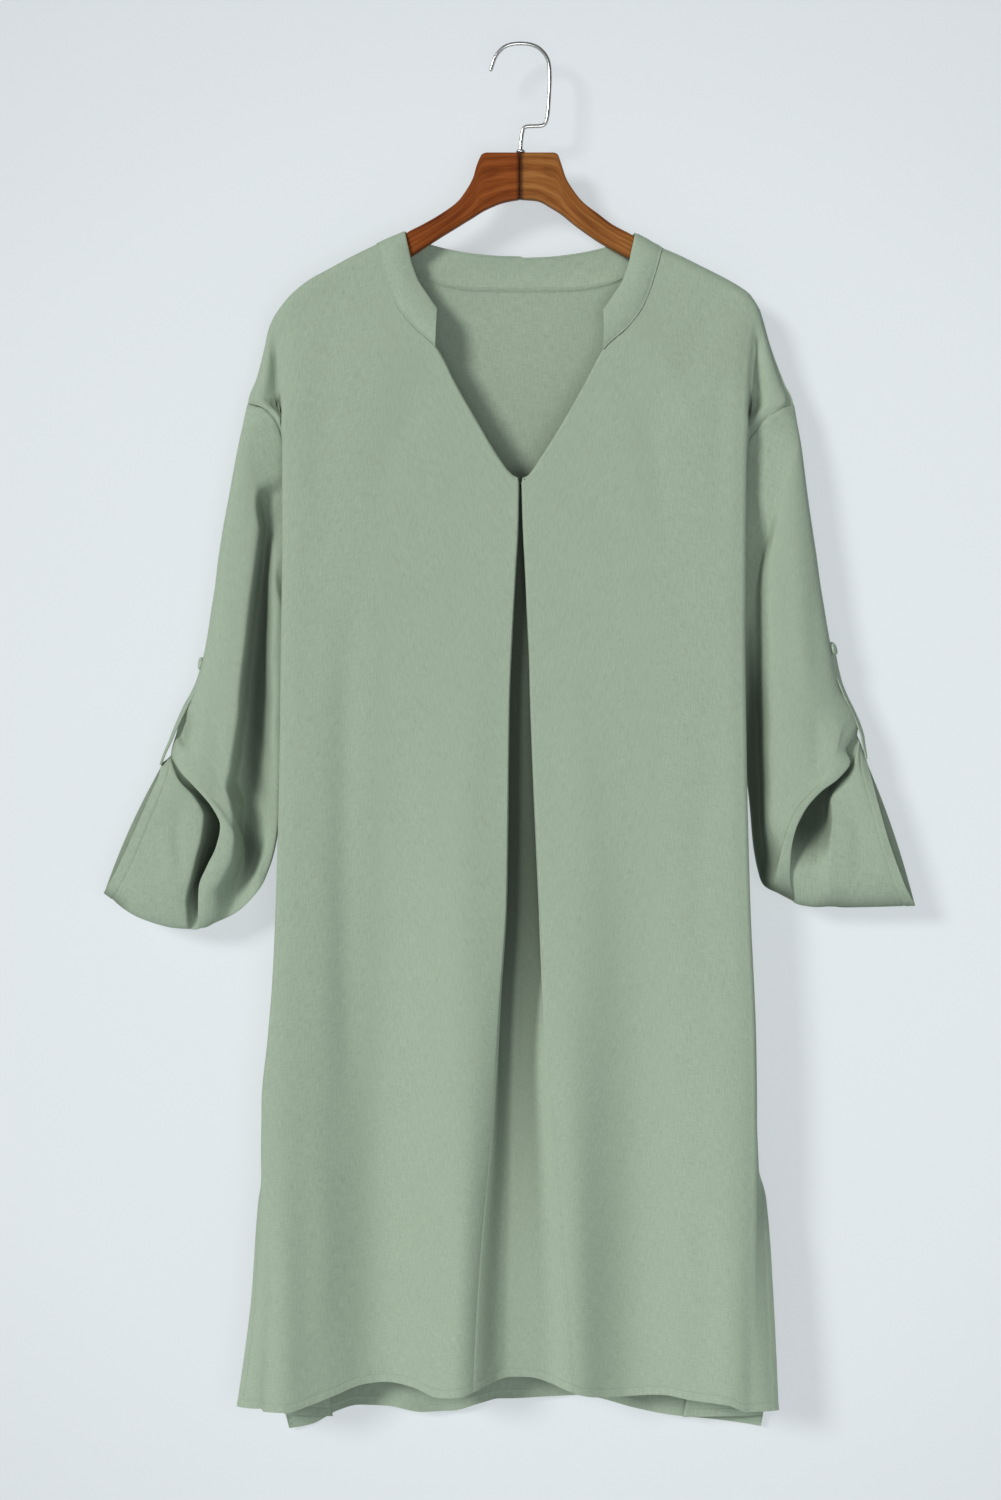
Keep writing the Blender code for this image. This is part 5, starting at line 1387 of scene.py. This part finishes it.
hookShape = {
    "radius": 1.75,
    # centre line: x, z
    "line": [(-24.8, -20.6), (-23.1, -15), (-20.9, -9.6), (-17.5, -4.8), (-12.5, -0.7), (-6.8, 1.2),
             (-0.2, 1.8), (7, 1.3), (14, -0.9), (19.2, -5), (22.8, -10.1), (24.5, -15), (25.2, -20.6),
             (25.4, -29.1), (24.9, -39.7), (24.3, -50.2), (23.4, -59.4), (22.4, -64.1), (20.6, -67.2),
             (17.4, -68.3), (11.5, -68.5), (6.9, -68.6), (4.1, -69.3), (2.5, -71.4), (1.8, -74.9),
             (1, -80.6), (0.6, -85.5), (0.5, -91.2)],
    # the washer's outline: distance from the wire's middle, z
    "ferrule": [(2.0, -91.2), (3.5, -91.2), (3.9, -90.8), (3.9, -89.5), (3.7, -89.0),
                (3.2, -88.65), (2.4, -88.6), (2.0, -88.8)],
    "ferruleOut": 0.5,
}


def steelMaterial():
    # Bright metal with fine noise between two greys.
    look, tree, shader = speckledLook("Bright steel", ((0.48, 0.48, 0.46), (0.66, 0.66, 0.64)),
                                      900.0, 4.0)
    setSockets(shader, Metallic=1.0, Roughness=0.24)
    return look


def makeHook(look):
    # A circle carried along the smoothed centre line; half a ball closes the free end.
    line = np.array(hookShape["line"])
    thick = hookShape["radius"]
    reach = np.concatenate([[0], np.cumsum(np.hypot(*np.diff(line, axis=0).T))])
    fine = blendRows(np.linspace(0, reach[-1], 260), reach, line)
    for turn in range(6):
        fine[1:-1] = (fine[:-2] + 2 * fine[1:-1] + fine[2:]) / 4
    back = 1 - np.sin(np.linspace(0, 1, 8)[:-1] * np.pi / 2)
    run = fine[1] - fine[0]
    start = fine[0] - run / np.linalg.norm(run) * thick * back[:, None]
    path = np.concatenate([start, fine])
    ball = np.maximum(np.cos(back * np.pi / 2 * 0.98), 0.05)
    radius = (np.concatenate([ball, np.ones(len(fine))]) * thick)[:, None]
    run = np.gradient(path, axis=0)
    run = run / np.linalg.norm(run, axis=1, keepdims=True)
    turn = np.linspace(0, 2 * np.pi, 20, endpoint=False)
    x = path[:, 0:1] - radius * run[:, 1:2] * np.cos(turn)
    z = path[:, 1:2] + radius * run[:, 0:1] * np.cos(turn)
    grid = np.stack([x, radius * np.sin(turn), z], axis=-1)
    return gridPiece("hookWire", grid, look, closed=True)


def makeFerrule(look):
    # Washer: a small closed outline turned about the wire.
    outline = np.array(hookShape["ferrule"])
    turn = np.linspace(0, 2 * np.pi, 48, endpoint=False)
    x = hookShape["ferruleOut"] + outline[:, 0:1] * np.cos(turn)
    y = outline[:, 0:1] * np.sin(turn)
    z = outline[:, 1:2] + 0.0 * x
    grid = np.stack([x, y, z], axis=-1)
    return gridPiece("hookFerrule", np.concatenate([grid, grid[:1]]), look, closed=True)


brightSteel = steelMaterial()
for piece, node in ((makeHook(brightSteel), "hook"), (makeFerrule(brightSteel), "ferrule")):
    facesOutwards(piece, 55, joined=True)
    keepPiece(piece, "steel", node)
print("hook and ferrule made")


studio = {
    "wallPlace": 0.0368, "floor": -1.95, "glowMiddle": (-0.0166, 0.0368, -0.62),
    "wallColour": (0.25, 0.27, 0.28), "wallGlow": (0.48, 0.505, 0.52),
    "floorColour": (0.62, 0.65, 0.68), "floorGlow": (0.02, 0.02, 0.02),
    # how the glow fades: distance from its middle in metres, share
    "fade": [(0.15, 1.03), (0.55, 0.97), (0.80, 0.86)], "lightMiddle": (0.0, 0.0, -0.65),
    "world": (0.90, 0.95, 1.0), "worldStrength": 0.13,
    # kind, where it shines from, size (degrees for the even light), power, colour
    "lights": [("SUN", (-1.9, -2.4, 0.35), 15.0, 2.55, (1.0, 0.985, 0.965)),
               ("AREA", (0.3, -2.5, -0.85), 1.2, 18.0, (0.97, 0.99, 1.0)),
               ("SUN", (1.6, 2.4, 0.6), 30.0, 1.3, (1.0, 1.0, 1.0))],
}


def paleMaterial(name, colour, glow, oneSided):
    # Pale paint with a little light of its own, as a wall lit apart from the dress has. A
    # one-sided wall lets the views from behind through.
    base, glow = np.array(colour), np.array(glow)
    look, tree, shader = speckledLook(name, (base * 0.985, base * 1.01), 1.3)
    setSockets(shader, Roughness=0.95, Specular_IOR_Level=0.1, Emission_Strength=1.0)
    # the glow fades from the middle towards the corners
    far = addNode(tree, "ShaderNodeVectorMath", operation="DISTANCE")
    tree.links.new(placeFrom(tree, "Object"), far.inputs[0])
    far.inputs[1].default_value = studio["glowMiddle"]
    fade = [(distance, glow * share) for distance, share in studio["fade"]]
    tree.links.new(rampNode(tree, far.outputs["Value"], fade), shader.inputs["Emission Color"])
    if oneSided:
        clear = addNode(tree, "ShaderNodeBsdfTransparent")
        mix = addNode(tree, "ShaderNodeMixShader")
        facing = addNode(tree, "ShaderNodeNewGeometry")
        tree.links.new(facing.outputs["Backfacing"], mix.inputs["Fac"])
        tree.links.new(shader.outputs["BSDF"], mix.inputs[1])
        tree.links.new(clear.outputs["BSDF"], mix.inputs[2])
        tree.links.new(mix.outputs["Shader"], tree.nodes["Material Output"].inputs["Surface"])
    return look


def flatSheet(name, corners, look):
    # One square of the studio, from its corners in metres.
    meshPiece(name, np.array(corners) * 1000.0, [(0, 1, 2, 3)], look)


wallY, floorZ = studio["wallPlace"], studio["floor"]
flatSheet("paleWall", [(-9, wallY, floorZ), (9, wallY, floorZ), (9, wallY, 7), (-9, wallY, 7)],
          paleMaterial("Pale wall", studio["wallColour"], studio["wallGlow"], True))
flatSheet("paleFloor", [(-60, -60, floorZ), (60, -60, floorZ), (60, 60, floorZ), (-60, 60, floorZ)],
          paleMaterial("Pale floor", studio["floorColour"], studio["floorGlow"], False))

for number, (kind, place, size, power, colour) in enumerate(studio["lights"]):
    light = bpy.data.lights.new("softLight%d" % number, kind)
    if kind == "SUN":
        light.angle = math.radians(size)
    else:
        light.shape = "DISK"
        light.size = size
    light.energy = power
    light.color = colour
    lamp = bpy.data.objects.new("softLight%d" % number, light)
    bpy.context.scene.collection.objects.link(lamp)
    away = np.array(place) - studio["lightMiddle"]
    lamp.location = place
    lamp.rotation_euler = (math.atan2(math.hypot(away[0], away[1]), away[2]), 0.0,
                           math.atan2(away[0], -away[1]))

world = bpy.data.worlds.new("Pale room")
world.use_nodes = True
setSockets(world.node_tree.nodes["Background"], Color=(*studio["world"], 1.0),
           Strength=studio["worldStrength"])
bpy.context.scene.world = world

cameraShape = {"place": (-0.0166, -2.6, -0.5988), "lens": 73.41}
cameraData = bpy.data.cameras.new("camera")
cameraData.sensor_width = 36.0
cameraData.lens = cameraShape["lens"]
camera = bpy.data.objects.new("camera", cameraData)
camera.location = cameraShape["place"]
camera.rotation_euler = (math.radians(90), 0.0, 0.0)
bpy.context.scene.collection.objects.link(camera)
bpy.context.scene.camera = camera
bpy.context.scene.view_settings.view_transform = "Standard"
print("studio ready")
